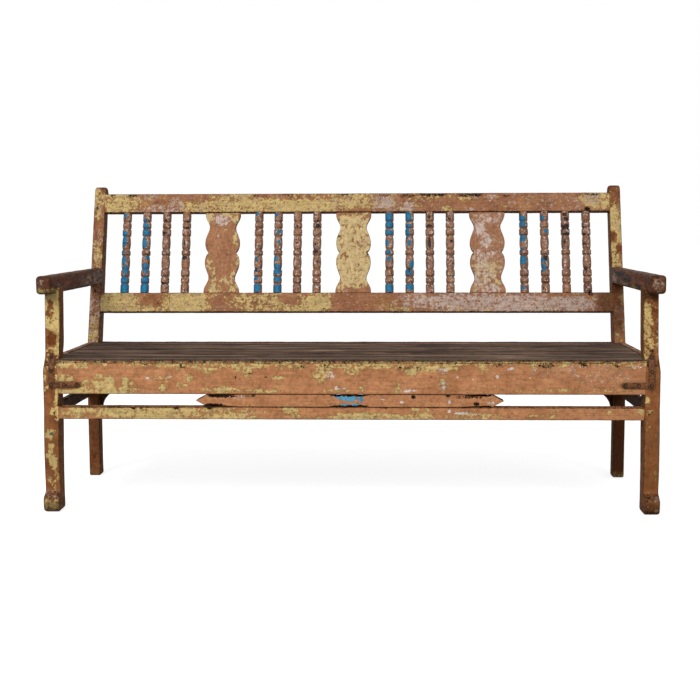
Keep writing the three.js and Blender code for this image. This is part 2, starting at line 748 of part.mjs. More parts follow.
function spindle(x) {
  const blockRadius = 14.5;
  const ringRadius = 15.2;
  const bulbRadius = 14.6;
  const bulbEndRadius = 13.2;
  const neckRadius = 12.2;
  // From the middle ring to the end block
  const radii = [
    ringRadius, neckRadius, bulbEndRadius, bulbRadius, bulbEndRadius, neckRadius,
    ringRadius, ringRadius, neckRadius, blockRadius, blockRadius, neckRadius, blockRadius, blockRadius,
  ];
  const placeShares = [0.055, 0.085, 0.11, 0.25, 0.385, 0.415, 0.44, 0.58, 0.6, 0.625, 0.745, 0.77, 0.795, 1];
  const upper = radii.map((radius, i) => new THREE.Vector2(radius, barHalf * placeShares[i]));
  const lower = upper.toReversed().map(({ x: radius, y }) => new THREE.Vector2(radius, -y));
  const end = barHalf + spindleTenonLength;
  const profile = [
    new THREE.Vector2(0, -end),
    new THREE.Vector2(spindleTenonRadius, -end),
    new THREE.Vector2(spindleTenonRadius, -barHalf),
    ...lower,
    ...upper,
    new THREE.Vector2(spindleTenonRadius, barHalf),
    new THREE.Vector2(spindleTenonRadius, end),
    new THREE.Vector2(0, end),
  ];
  const turned = new THREE.LatheGeometry(profile, spindleSides).translate(0, barCentre, 0);
  return onBackAxis(turned, x);
}

function spindleRoom(x) {
  const radius = spindleTenonRadius + clearance;
  const length = (barHalf + spindleTenonLength + clearance) * 2;
  const rod = new THREE.CylinderGeometry(radius, radius, length, spindleSides).translate(0, barCentre, 0);
  return onBackAxis(rod, x);
}
spindlePlaces.forEach((x, i) => {
  const paint = i % groupSize < blueInGroup ? bluePaint : brownPaint;
  place(`spindle_${String(i + 1).padStart(2, '0')}`, spindle(x), paint, leaningBack);
});

// The two rails of the back take the spindles and the splats.
const barRooms = [...spindlePlaces.map(spindleRoom), ...splatPlaces.map((x) => roomFor(...splatTenon(x)))];
function railOfBack(bottom) {
  const end = postInner - clearance;
  const bar = block([-end, 0, bottom], [end, railThickness, bottom + railHeight]);
  const tenon = block(...railTenon(bottom));
  return cutAll(joinAll([bar, tenon, mirrored(tenon)]), barRooms);
}
place('top_rail', railOfBack(topRailBottom), ochrePaint, leaningBack);
place('lower_back_rail', railOfBack(lowerRailBottom), ochrePaint, leaningBack);

// Corner plate: a flat arm on the seat rail and an upright arm bent to the step of the leg
function cornerPlate() {
  const plateRound = 7;
  const levels = [plateLevel, ...shoulderLevels.filter((level) => level < plateTop), plateTop];
  const strap = new THREE.Shape();
  strap.moveTo(legFaceAt(plateLevel) - clearance - plateThickness, plateLevel);
  for (const level of levels) strap.lineTo(legFaceAt(level) - clearance, level);
  for (const level of levels.toReversed()) strap.lineTo(legFaceAt(level) - clearance - plateThickness, level);
  const upright = roundedRectangle(plateOuter - plateWidth, plateOuter, plateLevel, plateTop, plateRound);
  const flat = roundedRectangle(plateInnerEnd, plateOuter, plateLevel, plateLevel + plateWidth, plateRound);
  const bent = alongX(strap, plateOuter - plateWidth - overrun, plateOuter + overrun);
  const upArm = bent.intersect(alongY(upright, -plateThickness - overrun, legDepth));
  const flatArm = alongY(flat, -clearance - plateThickness, -clearance);
  return cutAll(upArm.add(flatArm), plateScrews(clearance));
}
placePair('corner_plate', cornerPlate(), rustyIron);

plateScrews(0).forEach((pin, i) => {
  place(`plate_screw_right_${i + 1}`, pin, rustyIron);
  place(`plate_screw_left_${i + 1}`, mirrored(pin), rustyIron);
});
placePair('stretcher_peg', stretcherPeg(0), brownPaint);

// The origin lies on the floor, in the middle of the bench.
bench.updateMatrixWorld(true);
const bounds = new THREE.Box3().setFromObject(bench, true);
bench.position.y = -(bounds.min.y + bounds.max.y) / 2;

export default bench;
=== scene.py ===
import math

import bpy
import numpy as np
from mathutils import Matrix, Vector


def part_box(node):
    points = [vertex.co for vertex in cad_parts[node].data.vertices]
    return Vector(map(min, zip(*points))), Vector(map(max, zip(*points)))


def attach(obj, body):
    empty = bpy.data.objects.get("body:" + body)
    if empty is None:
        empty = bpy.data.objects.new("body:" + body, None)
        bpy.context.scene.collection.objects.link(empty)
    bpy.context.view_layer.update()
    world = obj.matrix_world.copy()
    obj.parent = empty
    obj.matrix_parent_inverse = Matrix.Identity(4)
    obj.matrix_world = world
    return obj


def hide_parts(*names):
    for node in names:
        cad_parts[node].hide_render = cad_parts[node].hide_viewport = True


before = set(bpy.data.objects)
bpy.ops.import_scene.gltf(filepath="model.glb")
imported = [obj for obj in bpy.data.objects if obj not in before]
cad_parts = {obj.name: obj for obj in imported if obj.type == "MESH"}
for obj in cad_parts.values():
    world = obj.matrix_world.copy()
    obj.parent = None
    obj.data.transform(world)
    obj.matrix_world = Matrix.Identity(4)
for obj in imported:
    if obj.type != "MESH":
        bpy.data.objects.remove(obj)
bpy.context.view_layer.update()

# Front legs. Each is one length of hardwood sawn to a scroll foot, with a knee block where
# the seat rails are tenoned in and a slimmer upright for the arm. Terracotta paint lies over
# ochre and a pale undercoat, and has flaked through to both and to the dark wood.

# Sizes are in mm until Blender takes them, and depths count from the face of the knees.
knee_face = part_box("front_seat_rail")[0][1]
leg_inner = 846.5


def choose(piece):
    """Makes a piece the only one selected, and the active one."""
    bpy.ops.object.select_all(action="DESELECT")
    piece.select_set(True)
    bpy.context.view_layer.objects.active = piece


def settle(piece):
    """Writes the place, turn and size of a piece into its mesh."""
    choose(piece)
    bpy.ops.object.transform_apply(location=True, rotation=True, scale=True)


def draw_out(name, axis, stations, cells, sides=0, face=knee_face):
    """A bar drawn out of one flat section, which moves and is resized at each station."""
    turn = [(0, math.pi / 2, 0), (math.pi / 2, 0, 0), (0, 0, 0)][axis]
    if sides:
        bpy.ops.mesh.primitive_circle_add(
            vertices=sides, radius=0.5, fill_type="NGON", rotation=turn
        )
    else:
        rows = [(cells[2], cells[1]), (cells[0], cells[2]), (cells[0], cells[1])][axis]
        bpy.ops.mesh.primitive_grid_add(
            x_subdivisions=rows[0], y_subdivisions=rows[1], size=1, rotation=turn
        )
    piece = bpy.context.object
    piece.name = piece.data.name = name
    settle(piece)
    bpy.ops.object.mode_set(mode="EDIT")
    bpy.ops.mesh.select_all(action="SELECT")
    centre, size = Vector(), Vector((1, 1, 1))
    for i, corners in enumerate(stations):
        low, high = (Vector((x / 1000, face + y / 1000, z / 1000)) for x, y, z in corners)
        here = (low + high) / 2
        wide = high - low
        wide[axis] = 1
        if i == 0:
            bpy.ops.transform.translate(value=here)
        else:
            bpy.ops.mesh.extrude_region_move(TRANSFORM_OT_translate={"value": here - centre})
        factor = [wide[k] / size[k] for k in range(3)]
        bpy.ops.transform.resize(value=factor, center_override=here)
        centre, size = here, wide
    bpy.ops.mesh.select_all(action="SELECT")
    bpy.ops.mesh.normals_make_consistent(inside=False)
    bpy.ops.object.mode_set(mode="OBJECT")
    return piece


def work(piece, kind, **settings):
    """Gives a piece a modifier with its settings, and applies it."""
    choose(piece)
    modifier = piece.modifiers.new(kind.lower(), kind)
    for name, value in settings.items():
        setattr(modifier, name, value)
    bpy.ops.object.modifier_apply(modifier=modifier.name)


def ease_edges(piece, width, segments=2, angle=40):
    """Takes the sharpness off every edge, as years of hands and brushes do."""
    limit = {"limit_method": "ANGLE", "angle_limit": math.radians(angle)}
    limit["use_clamp_overlap"] = False
    work(piece, "BEVEL", width=width / 1000, segments=segments, **limit)


def weather(piece, *waves, group=""):
    """Uneven wear: the faces swell and sink a little, in waves given by length and depth."""
    for length, depth in waves:
        clouds = bpy.data.textures.new("uneven wear", "CLOUDS")
        clouds.noise_scale = length / 1000
        clouds.noise_depth = 3
        settings = {"texture": clouds, "texture_coords": "GLOBAL", "mid_level": 0.8}
        work(piece, "DISPLACE", strength=depth / 1000, vertex_group=group, **settings)


def read(items, key, width=3, kind=float):
    """One property of all vertices, edges, faces or corners, as the rows of an array."""
    values = np.zeros(len(items) * width, kind)
    items.foreach_get(key, values)
    return values.reshape(-1, width)


def pick(piece, kind, test):
    """Opens a piece for editing, with only the edges or faces chosen that pass a test of
    their middle and direction."""
    choose(piece)
    mesh = piece.data
    knee = np.array((0, knee_face, 0))
    bpy.context.tool_settings.mesh_select_mode = (False, kind == "EDGE", kind == "FACE")
    for group in (mesh.vertices, mesh.edges, mesh.polygons):
        group.foreach_set("select", np.zeros(len(group), bool))
    if kind == "EDGE":
        place = 1000 * (read(mesh.vertices, "co") - knee)
        ends = place[read(mesh.edges, "vertices", 2, int)]
        mesh.edges.foreach_set("select", test(ends.mean(1), ends[:, 1] - ends[:, 0]))
    else:
        middle = 1000 * (read(mesh.polygons, "center") - knee)
        chosen = test(middle, read(mesh.polygons, "normal"))
        mesh.polygons.foreach_set("select", chosen)
    bpy.ops.object.mode_set(mode="EDIT")
    bpy.ops.mesh.select_mode(type=kind)


def divide_lengthwise(piece, axis, cuts, longer_than=12):
    """Cuts the long edges of a bar evenly, so that wear and paint can follow it closely."""

    def lies_along(middle, way):
        length = np.abs(way[:, axis])
        return (length > longer_than) & (length > 0.8 * np.linalg.norm(way, axis=1))

    pick(piece, "EDGE", lies_along)
    bpy.ops.mesh.subdivide(number_cuts=cuts)
    bpy.ops.object.mode_set(mode="OBJECT")


def lay_coats(
    piece, grounds, front=(), all_round=(), inner=0, sides=0, top=0, arris=0, lean=0, across=0
):
    """Writes how much of each coat shows, as attributes: a ground level, and patches in mm given
    by middle, half size and strength, on the front in x and z, all round in the axis across
    and z. Inner faces, faces turned sideways, undersides and arrises are darkened, as grime,
    darker bare wood and painted shade; tops and arrises are chipped to the dark wood, which
    in places is painted shade too."""
    mesh = piece.data
    place = 1000 * read(mesh.vertices, "co")[read(mesh.loops, "vertex_index", 1, int)[:, 0]]
    counts = read(mesh.polygons, "loop_total", 1, int)[:, 0]
    normal = np.repeat(read(mesh.polygons, "normal"), counts, axis=0)
    upright = normal @ np.array(Matrix.Rotation(lean, 3, "X")).T
    faces_front = upright[:, 1] < -0.3
    on_arris = np.abs(upright).max(axis=1) < 0.95
    for coat in ("ochre", "lilac_and_glints", "blue", "rust", "bare", "chips_and_shade", "grime_and_shade"):
        level = np.full(len(place), float(grounds.get(coat, 0)))
        for patches, where, axis in ((dict(all_round), 1, across), (dict(front), faces_front, 0)):
            for x, z, half_x, half_z, strength in patches.get(coat, ()):
                away = np.hypot((place[:, axis] - x) / half_x, (place[:, 2] - z) / half_z)
                level += (strength - level) * np.clip((1.4 - away) / 0.7, 0, 1) * where
        if coat == "grime_and_shade":
            # Painted shade: inner faces, faces turned sideways, undersides and arrises are darkened
            # as if shaded, with real grime and darker wood on inner faces and sawn edges.
            towards_middle = -np.sign(place[:, 0]) * upright[:, 0]
            sideways = np.clip(np.abs(upright[:, 0]) * 2 - 0.9, 0, 1)
            for soil_and_shade in (
                inner * (towards_middle > 0.6),
                sides * sideways,
                0.6 * (upright[:, 2] < -0.6),
                0.4 * on_arris * (arris > 0),
            ):
                level = np.maximum(level, soil_and_shade)
        if coat == "chips_and_shade":
            # Arrises and tops get more chips: wear to the dark wood, and painted shade as dark
            # outlines on edges and on shaded tops.
            level += arris * on_arris + top * (np.abs(upright[:, 2]) > 0.6)
        mesh.attributes.new(coat, "FLOAT", "CORNER").data.foreach_set("value", level)


def linear(colour):
    """An sRGB colour written as hex digits, as the linear numbers that a shader takes."""
    parts = [int(colour[i : i + 2], 16) / 255 for i in (0, 2, 4)]
    return [p / 12.92 if p <= 0.04045 else ((p + 0.055) / 1.055) ** 2.4 for p in parts] + [1]


def new_material(name):
    """A material and its node tree, still empty."""
    material = bpy.data.materials.new(name)
    material.use_nodes = True
    material.node_tree.nodes.clear()
    return material, material.node_tree


def add(tree, kind, given=(), take=0):
    """Adds one node with its settings and links, and gives the output taken from it."""
    node = tree.nodes.new("ShaderNode" + kind)
    for name, value in dict(given).items():
        if isinstance(value, bpy.types.NodeSocket):
            tree.links.new(value, node.inputs[name])
        elif isinstance(name, int) or name in node.inputs:
            node.inputs[name].default_value = value
        else:
            setattr(node, name, value)
    return node.outputs[take] if node.outputs else None


def old_paint(name, light, dark, grain_axis, coats, rough=(0.6, 0.9), shine=0.06, drawn_out=1):
    """Brushed oil paint in several coats, flaked and rubbed. Each coat below shows where its
    attribute and a broken pattern together pass a limit. Sizes are in millimetres, and the
    pattern can be drawn out along the grain."""
    material, tree = new_material(name)
    place = add(tree, "TexCoord", take="Object")
    stretch = [1.0, 1.0, 1.0]
    stretch[grain_axis] = 0.09
    along = add(tree, "Mapping", {"Scale": stretch, "Vector": place})
    stretch[grain_axis] = 1 / drawn_out
    flow = add(tree, "Mapping", {"Scale": stretch, "Vector": place})
    mottle, fine, brush = (
        add(
            tree,
            "TexNoise",
            {"Scale": 1000 / size, "Detail": detail, "Roughness": broken, "Vector": way},
        )
        for size, detail, broken, way in (
            (55, 6, 0.65, flow), (10, 4, 0.7, flow), (6, 4, 0.65, along)
        )
    )
    body = add(tree, "MapRange", {"From Min": 0.38, "From Max": 0.62, "Value": mottle})
    mix = {"data_type": "RGBA"}
    colour = add(tree, "Mix", mix | {6: linear(dark), 7: linear(light), 0: body}, 2)
    height = add(tree, "Math", {"operation": "MULTIPLY", 1: 0.35, 0: brush})
    for i, (coat, hue, deep, size, spread, edge, depth, grainy) in enumerate(coats):
        broken = {"noise_dimensions": "4D", "Detail": 4, "Roughness": 0.65, "Distortion": 0.4}
        coarse, small = (
            add(
                tree,
                "TexNoise",
                broken | {"W": 3.7 * i + offset, "Scale": 1000 / across, "Vector": flow},
            )
            for across, offset in ((size, 1.3), (size / 2.6, 2.9))
        )
        pattern = add(tree, "Mix", {"data_type": "FLOAT", 0: 0.55, 2: coarse, 3: small})
        pattern = add(tree, "Mix", {"data_type": "FLOAT", 0: grainy, 2: pattern, 3: brush})
        level = add(tree, "Attribute", {"attribute_name": coat}, take="Fac")
        shown = add(
            tree, "Math", {"operation": "MULTIPLY_ADD", 1: spread, 0: pattern, 2: level}
        )
        # A flake is darker at its rim.
        limit = 0.5 + spread / 2
        mask, rim = (
            add(tree, "MapRange", {"From Min": low, "From Max": high, "Value": shown})
            for low, high in ((limit - edge, limit + edge), (limit, limit + 0.22))
        )
        tone = add(tree, "Mix", mix | {6: linear(deep), 7: linear(hue), 0: rim}, 2)
        colour = add(tree, "Mix", mix | {0: mask, 6: colour, 7: tone}, 2)
        height = add(
            tree, "Math", {"operation": "MULTIPLY_ADD", 1: -depth, 0: mask, 2: height}
        )
    for noise, low, high in ((fine, 0.7, 1.16), (brush, 0.84, 1.12)):
        reach = {"From Min": 0.34, "From Max": 0.64, "To Min": low, "To Max": high}
        tone = add(tree, "MapRange", reach | {"Value": noise})
        multiply = mix | {"blend_type": "MULTIPLY", 0: 1.0}
        colour = add(tree, "Mix", multiply | {6: colour, 7: tone}, 2)
    # Grime and painted shade: the colour darkens towards 432A19 where the darkening attribute and
    # the fine noise are high.
    grime_and_shade = add(tree, "Attribute", {"attribute_name": "grime_and_shade"}, take="Fac")
    dirt_and_shade = add(tree, "Math", {"operation": "MULTIPLY_ADD", 1: 1.2, 0: fine, 2: grime_and_shade})
    dirt_and_shade = add(tree, "MapRange", {"From Min": 0.7, "From Max": 1.5, "Value": dirt_and_shade})
    colour = add(tree, "Mix", mix | {7: linear("432A19"), 0: dirt_and_shade, 6: colour}, 2)
    reach = {"From Min": 0.35, "From Max": 0.65, "To Min": rough[0], "To Max": rough[1]}
    sheen = add(tree, "MapRange", reach | {"Value": fine})
    height = add(tree, "Math", {"operation": "MULTIPLY_ADD", 1: 0.5, 0: fine, 2: height})
    bump = add(tree, "Bump", {"Strength": 0.6, "Distance": 0.0011, "Height": height})
    surface = add(
        tree,
        "BsdfPrincipled",
        {"IOR": 1.48, "Specular IOR Level": shine, "Base Color": colour}
        | {"Roughness": sheen, "Normal": bump},
    )
    add(tree, "OutputMaterial", {"Surface": surface})
    return material


def fit(piece, material, node):
    """Gives a finished piece its material, and sets it in place of its node."""
    choose(piece)
    bpy.ops.object.shade_smooth_by_angle(angle=math.radians(38))
    piece.data.materials.clear()
    piece.data.materials.append(material)
    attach(piece, "root")
    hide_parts(node)


def copy_of(piece, name):
    """One more of the same piece, with a mesh of its own."""
    other = piece.copy()
    other.data = piece.data.copy()
    other.name = other.data.name = name
    bpy.context.collection.objects.link(other)
    choose(other)
    return other


def mirror_over(piece, name):
    """The same piece for the other side."""
    other = copy_of(piece, name)
    bpy.ops.object.mode_set(mode="EDIT")
    bpy.ops.mesh.select_all(action="SELECT")
    bpy.ops.transform.resize(value=(-1, 1, 1), center_override=(0, 0, 0))
    bpy.ops.mesh.normals_make_consistent(inside=False)
    bpy.ops.object.mode_set(mode="OBJECT")
    return other


# Coats: attribute, colour, colour at its rim, size of a patch in mm, how broken, softness,
# depth and share of grain. Most sizes are coarser than real flakes, to show at this distance.
ochre_below = ("ochre", "C1A76E", "84602F", 21, 5.5, 0.06, 0.8, 0.1)
lilac_below = ("lilac_and_glints", "B8A194", "9A7460", 16, 5.0, 0.32, 0.7, 0.05)
rust_worn = ("rust", "68391C", "7A4526", 34, 3.0, 0.3, 0.2, 0.2)
wood_chips = ("chips_and_shade", "1E140E", "3A2415", 11, 4.5, 0.12, 1.6, 0.1)
leg_paint = old_paint(
    "old terracotta paint, upright grain", "976239", "78492B", 2,
    [
        ("ochre", "CBB072", "8C6639", 22, 5.5, 0.06, 0.8, 0.08),
        lilac_below,
        rust_worn,
        ("blue", "3F7468", "2C4A40", 8, 2.5, 0.1, 0.2, 0.1),
        wood_chips,
    ],
)
# Level, front face, back face, outer face
knee_outer = 889
leg_levels = [
    (level, front, back, knee_outer)
    for level, front, back in (
        (0, -4, 31), (1.2, -14.4, 38), (4, -21.2, 42), (8, -25.9, 44.2), (13, -29.2, 45),
        (19, -31.1, 45), (27, -32, 45), (34, -32, 45), (40, -31.8, 45), (44, -29.9, 45),
        (47.6, -25.9, 45), (50, -21.9, 45), (52, -18, 45), (54.2, -13.7, 45), (57, -9.2, 45),
        (61, -5.4, 45), (67, -4.1, 45), (76, -4.8, 45), (87, -5.6, 45.1), (99, -6.3, 45.3),
        (111, -7, 45.6), (123, -7.4, 46), (135, -7.8, 46.4), (147, -8, 47), (159, -8.2, 47.6),
        (171, -8.1, 48.3), (183, -8, 49.1), (195, -7.7, 49.9), (207, -7.3, 50.9), (219, -6.8, 52),
        (231, -6.2, 53.1), (243, -5.4, 54), (255, -4.5, 54), (267, -3.5, 54), (279, -2.3, 54),
        (291, -1, 54),
    )
]
leg_levels += [(level, 0, 54, knee_outer) for level in (*range(303, 400, 12), 402, 410)]
leg_levels += [
    (418, 0.9, 54, 888.3), (427, 3.5, 54, 887.5), (436, 7, 54, 886.8), (445, 10.5, 54, 886),
    (453, 12.9, 54.1, 885.3), (462, 14, 55.1, 884.5), (471, 14, 57.5, 884.3),
    (480, 14, 60.8, 884.1), (490, 14, 63.3, 884),
]
leg_levels += [
    (level, 14, 64, outer)
    for level, outer in (
        (502, 883.7), (514, 883.5), (526, 883.3), (538, 883), (550, 882.8), (562, 882.6),
        (574, 882.3), (586, 882.1), (598, 881.8), (610, 881.6), (622, 881.4), (634, 881.1),
        (641, 881), (648, 881), (655, 881),
    )
]
leg_coats = {
    "left": {
        "blue": [(-868, 229, 8, 7, 1.1)],
        "ochre": [
            (-856, 585, 40, 70, 1.1), (-868, 588, 12, 29, 0.35), (-843, 542, 12, 41, 1),
            (-863, 455, 29, 23, 0.6), (-879, 411, 12, 35, 0.5), (-847, 411, 12, 35, 0.6),
            (-883, 375, 9, 23, 0.4), (-849, 317, 10, 59, 0.85), (-864, 296, 12, 12, 0.8),
            (-875, 228, 18, 18, 0.75), (-870, 190, 10, 12, 0.85), (-866, 157, 13, 27, 0.88),
            (-858, 118, 9, 24, 0.65), (-876, 91, 9, 9, 0.6), (-883, 166, 7, 9, 0.6),
            (-872, 20, 36, 21, 0.8), (-862, 74, 12, 15, 0.5), (-864, 470, 26, 30, 0.5),
            (-850, 560, 6, 90, 0.95),
        ],
        "rust": [(-864, 585, 10, 25, 0.3), (-864, 507, 16, 24, 0.75), (-866, 554, 6, 8, 0.4)],
        "lilac_and_glints": [(-874, 53, 30, 14, 0.4), (-876, 97, 6, 9, 0.6), (-869, 228, 9, 6, 0.5)],
        "chips_and_shade": [(-869, 228, 9, 5, 0.2), (-862, 296, 6, 6, 0.6), (-839, 475, 6, 35, 0.4)],
    },
    "right": {
        "ochre": [
            (858, 539, 25, 86, 0.84), (874, 562, 11, 57, 0.45), (856, 619, 28, 17, 0.3),
            (845, 471, 14, 34, 0.7), (872, 413, 14, 23, 0.2), (854, 332, 9, 9, 0.85),
            (874, 303, 9, 7, 0.85), (857, 295, 7, 6, 0.7), (875, 26, 29, 18, 0.72),
            (867, 129, 29, 117, 0.06), (850, 600, 7, 50, 0.8),
        ],
        "rust": [
            (873, 585, 11, 26, 0.75), (861, 625, 25, 11, 0.7), (875, 528, 8, 40, 0.5),
            (867, 129, 34, 152, 0.35), (865, 228, 34, 64, 0.2),
        ],
        "lilac_and_glints": [(874, 46, 26, 11, 0.4), (866, 425, 14, 9, 0.5)],
        "chips_and_shade": [(862, 473, 14, 9, 0.4), (869, 14, 23, 6, 0.3)],
    },
}


def foot_round(level, radius=8):
    """How far in the sides lie near the floor."""
    return radius - math.sqrt(radius**2 - max(0, radius - level) ** 2)


def upright_wide(level):
    """How far the upright stands in from the knee, which it does by eye and not to a line."""
    return 0.8 + 3.4 * min(1, max(0, (level - 440) / 22)) + 3.2 * max(0, (level - 462) / 190)


leg_right = draw_out(
    "front_leg_right_worn",
    2,
    [
        (
            (leg_inner + foot_round(level) - upright_wide(level), front, level),
            (outer + 1.9 - foot_round(level), back, level),
        )
        for level, front, back, outer in leg_levels
    ],
    (7, 8, 0),
)
ease_edges(leg_right, 2.8)
leg_left = mirror_over(leg_right, "front_leg_left_worn")
for side, leg, x, rust, dust_and_shade_below in (
    ("left", leg_left, -868, 0.05, 0.3), ("right", leg_right, 868, 0.3, 0.8)
):
    weather(leg, (50, 0.9), (12, 0.5))
    lay_coats(
        leg,
        {"ochre": 0.04, "lilac_and_glints": -0.4, "rust": rust, "chips_and_shade": -0.05, "blue": -1},
        front=leg_coats[side],
        all_round={
            # Darker near the floor and over the lower leg; at the top, painted shade under the arm
            # with some dust; round the upright arm of the corner plate, a painted shadow.
            "grime_and_shade": [(x, 170, 60, 110, 0.24), (x, 6, 60, 32, 0.66), (x, 636, 60, 16, dust_and_shade_below)]
            + [(x * 0.997, z, 9.8, 28, 0.85) for z in (384, 413, 442)]
        },
        inner=0.48,
        arris=0.4,
    )
    fit(leg, leg_paint, f"front_leg_{side}")


# Back posts. Square hardwood, upright to the seat and raked above it, deepest at the bend,
# with the top corners rounded off to ears. Painted like the rest above the seat, and bare
# brown wood below it, stained by damp and dust and darkened further by painted shade under
# the seat.
rake = math.radians(16.8)
post_front, bend_level = 503, 390
bend = Vector((0, knee_face + post_front / 1000, bend_level / 1000))
post_inner, post_outer = 851, 889
# Level, front face, back face, how far the sides draw in
post_levels = [(0, post_front, 547, 4), (2.5, post_front, 547, 1), (6, post_front, 547, 0)]
post_levels += [
    (level, post_front, 547, 0) for level in (*range(18, 91, 18), *range(110, 151, 20))
]
post_levels += [
    (170, 503, 547.4, 0), (190, 503, 547.9, 0), (210, 503, 548.5, 0), (231, 503, 549.2, 0),
    (251, 503, 550.6, 0), (270, 503, 552, 0), (289, 503, 553.8, 0), (307, 503, 555.8, 0),
    (326, 503, 558.2, 0), (345, 503, 561, 0), (360, 503, 563.4, 0), (375, 503.8, 566, 0),
    (390, 505.3, 568.6, 0), (405, 508.3, 571.7, 0), (420, 512, 575, 0), (433, 516, 578.6, 0),
]
post_levels += [
    (level, post_front + (level - bend_level) * 0.30192, 582.2 + (level - 447) * 0.2694, 0)
    for level in range(447, 940, 12)
]
post_levels += [
    (945.5, 671, 714, 0), (949.5, 672.2, 712.4, 0.1), (953.5, 673.8, 709.7, 0.3),
    (958.5, 676.8, 703.7, 1.3), (961.1, 680.8, 697.7, 3), (962.5, 684.8, 691.7, 6),
]
post_paint = old_paint(
    "old terracotta paint, upright grain of the posts", "96643F", "7C4F30", 2,
    [ochre_below, lilac_below, rust_worn, wood_chips],
)
post_coats = {
    "left": {
        "ochre": [
            (-875, 927, 27, 41, 0.85), (-873, 879, 10, 41, 0.75), (-869, 744, 15, 44, 0.75),
            (-881, 774, 10, 20, 0.5), (-877, 493, 24, 52, 0.6), (-879, 460, 24, 16, 0.7),
            (-880, 818, 21, 27, 0.15), (-878, 634, 24, 33, 0.3), (-880, 22, 20, 14, 0.4),
        ],
        "lilac_and_glints": [(-874, 568, 24, 53, 0.55), (-879, 724, 17, 20, 0.45), (-882, 513, 17, 33, 0.5)],
        "rust": [(-877, 838, 24, 41, 0.3), (-878, 644, 27, 40, 0.45), (-859, 954, 9, 20, 0.8)],
        "chips_and_shade": [(-880, 893, 10, 5, 0.6), (-870, 611, 7, 7, 0.7), (-872, 582, 5, 5, 0.6)],
    },
    "right": {
        "ochre": [
            (864, 800, 27, 113, 0.95), (861, 790, 13, 17, 0.15), (879, 754, 10, 20, 0.2),
            (866, 937, 33, 34, 0.25), (883, 590, 13, 26, 0.75), (887, 500, 13, 23, 0.75),
            (869, 468, 13, 16, 0.55), (869, 639, 20, 20, 0.1), (876, 45, 9, 40, 0.5),
            (868, 12, 30, 9, 0.5),
        ],
        "rust": [
            (866, 941, 30, 40, 0.55), (858, 794, 13, 17, 0.8), (879, 754, 10, 17, 0.8),
            (859, 642, 30, 39, 0.95), (865, 542, 23, 71, 0.6),
        ],
        "lilac_and_glints": [(868, 532, 20, 58, 0.5), (863, 941, 20, 27, 0.3)],
        "chips_and_shade": [(870, 874, 10, 5, 0.6), (873, 477, 5, 5, 0.8), (865, 731, 7, 7, 0.5)],
    },
}
post_right = draw_out(
    "back_post_right_worn",
    2,
    [
        ((post_inner + inset, front, level), (post_outer - inset, back, level))
        for level, front, back, inset in post_levels
    ],
    (6, 7, 0),
)
ease_edges(post_right, 2.4)
post_left = mirror_over(post_right, "back_post_left_worn")
for side, post, x, lilac_and_glints, rust, dust_and_shade_below in (
    ("left", post_left, -870, 0.25, 0.5, 0.05), ("right", post_right, 870, 0.12, 1.3, 0.6)
):
    weather(post, (50, 0.9), (12, 0.5))
    lay_coats(
        post,
        {"ochre": 0.1, "lilac_and_glints": lilac_and_glints, "rust": 0.02},
        front=post_coats[side],
        all_round={
            "rust": [(x, 150, 900, 215, rust), (x, 6, 60, 14, 0.2)],
            "ochre": [(x, 150, 900, 215, -0.6), (x, 8, 60, 12, 0.25)],
            "lilac_and_glints": [(x, 150, 900, 215, -0.5)],
            # Below the seat, dust and painted shade under the seat, deeper on the right post; the
            # right post is also darker around 560 mm up.
            "grime_and_shade": [(x, 180, 900, 200, dust_and_shade_below), (870, 560, 30, 90, 0.55)],
        },
        inner=0.6,
        arris=0.45,
        lean=rake,
    )
    fit(post, post_paint, f"back_post_{side}")


# Arms. Stout square bars of close-grained hardwood, mortised onto the front legs and cut to
# the rake of the posts behind. Hands have rubbed off most of the paint, rounded the edges and
# left dark reddish wood with a slight shine and spots of old paint. The grey glints on the
# ends are painted highlights.
arm_wood = old_paint(
    "hand-rubbed hardwood with traces of paint", "643A26", "3C2014", 1,
    [
        ("rust", "7E4826", "5A331C", 34, 4.0, 0.6, 0.1, 0.1),
        ("ochre", "8F7A48", "5A4528", 12, 5.0, 0.2, 0.4, 0.1),
        ("lilac_and_glints", "927A68", "5E463A", 15, 4.5, 0.35, 0.3, 0.1),
        ("chips_and_shade", "170E0A", "2A1811", 18, 4.0, 0.35, 0.8, 0.1),
    ],
    rough=(0.5, 0.8),
    shine=0.1,
    drawn_out=4,
)
arm_low, arm_high = 637, 690.8
arm_outer = leg_inner + 45.5
arm_right = draw_out(
    "arm_right_worn",
    1,
    [
        ((leg_inner, y, arm_low), (arm_outer, y, arm_high))
        for y in (-45, -28, 0, 40, 80, *range(140, 561, 60), 612)
    ],
    (4, 0, 4),
)
ease_edges(arm_right, 11, 4)
divide_lengthwise(arm_right, 1, 5)
bpy.ops.object.mode_set(mode="EDIT")
bpy.ops.mesh.select_all(action="SELECT")
bpy.ops.mesh.bisect(
    plane_co=bend + Vector((0, 0.0005, 0)),
    plane_no=(0, math.cos(rake), -math.sin(rake)),
    use_fill=True,
    clear_outer=True,
)
bpy.ops.object.mode_set(mode="OBJECT")
arm_left = mirror_over(arm_right, "arm_left_worn")
# On the ends, the pale lilac patches are painted highlights: grey glints.
arm_coats = {
    "left": {
        "lilac_and_glints": [(-874, 672, 14, 10, 0.6), (-884, 660, 6, 10, 0.4)],
        "ochre": [(-870, 644, 26, 6, 0.85)],
        "rust": [(-870, 660, 30, 30, 0.1)],
    },
    "right": {
        "rust": [(870, 666, 30, 30, 0.8)],
        "lilac_and_glints": [(870, 664, 20, 20, 0.65), (860, 674, 6, 5, 1.1), (880, 670, 4, 5, 1.1)],
        "ochre": [(874, 644, 16, 4, 0.5)],
    },
}
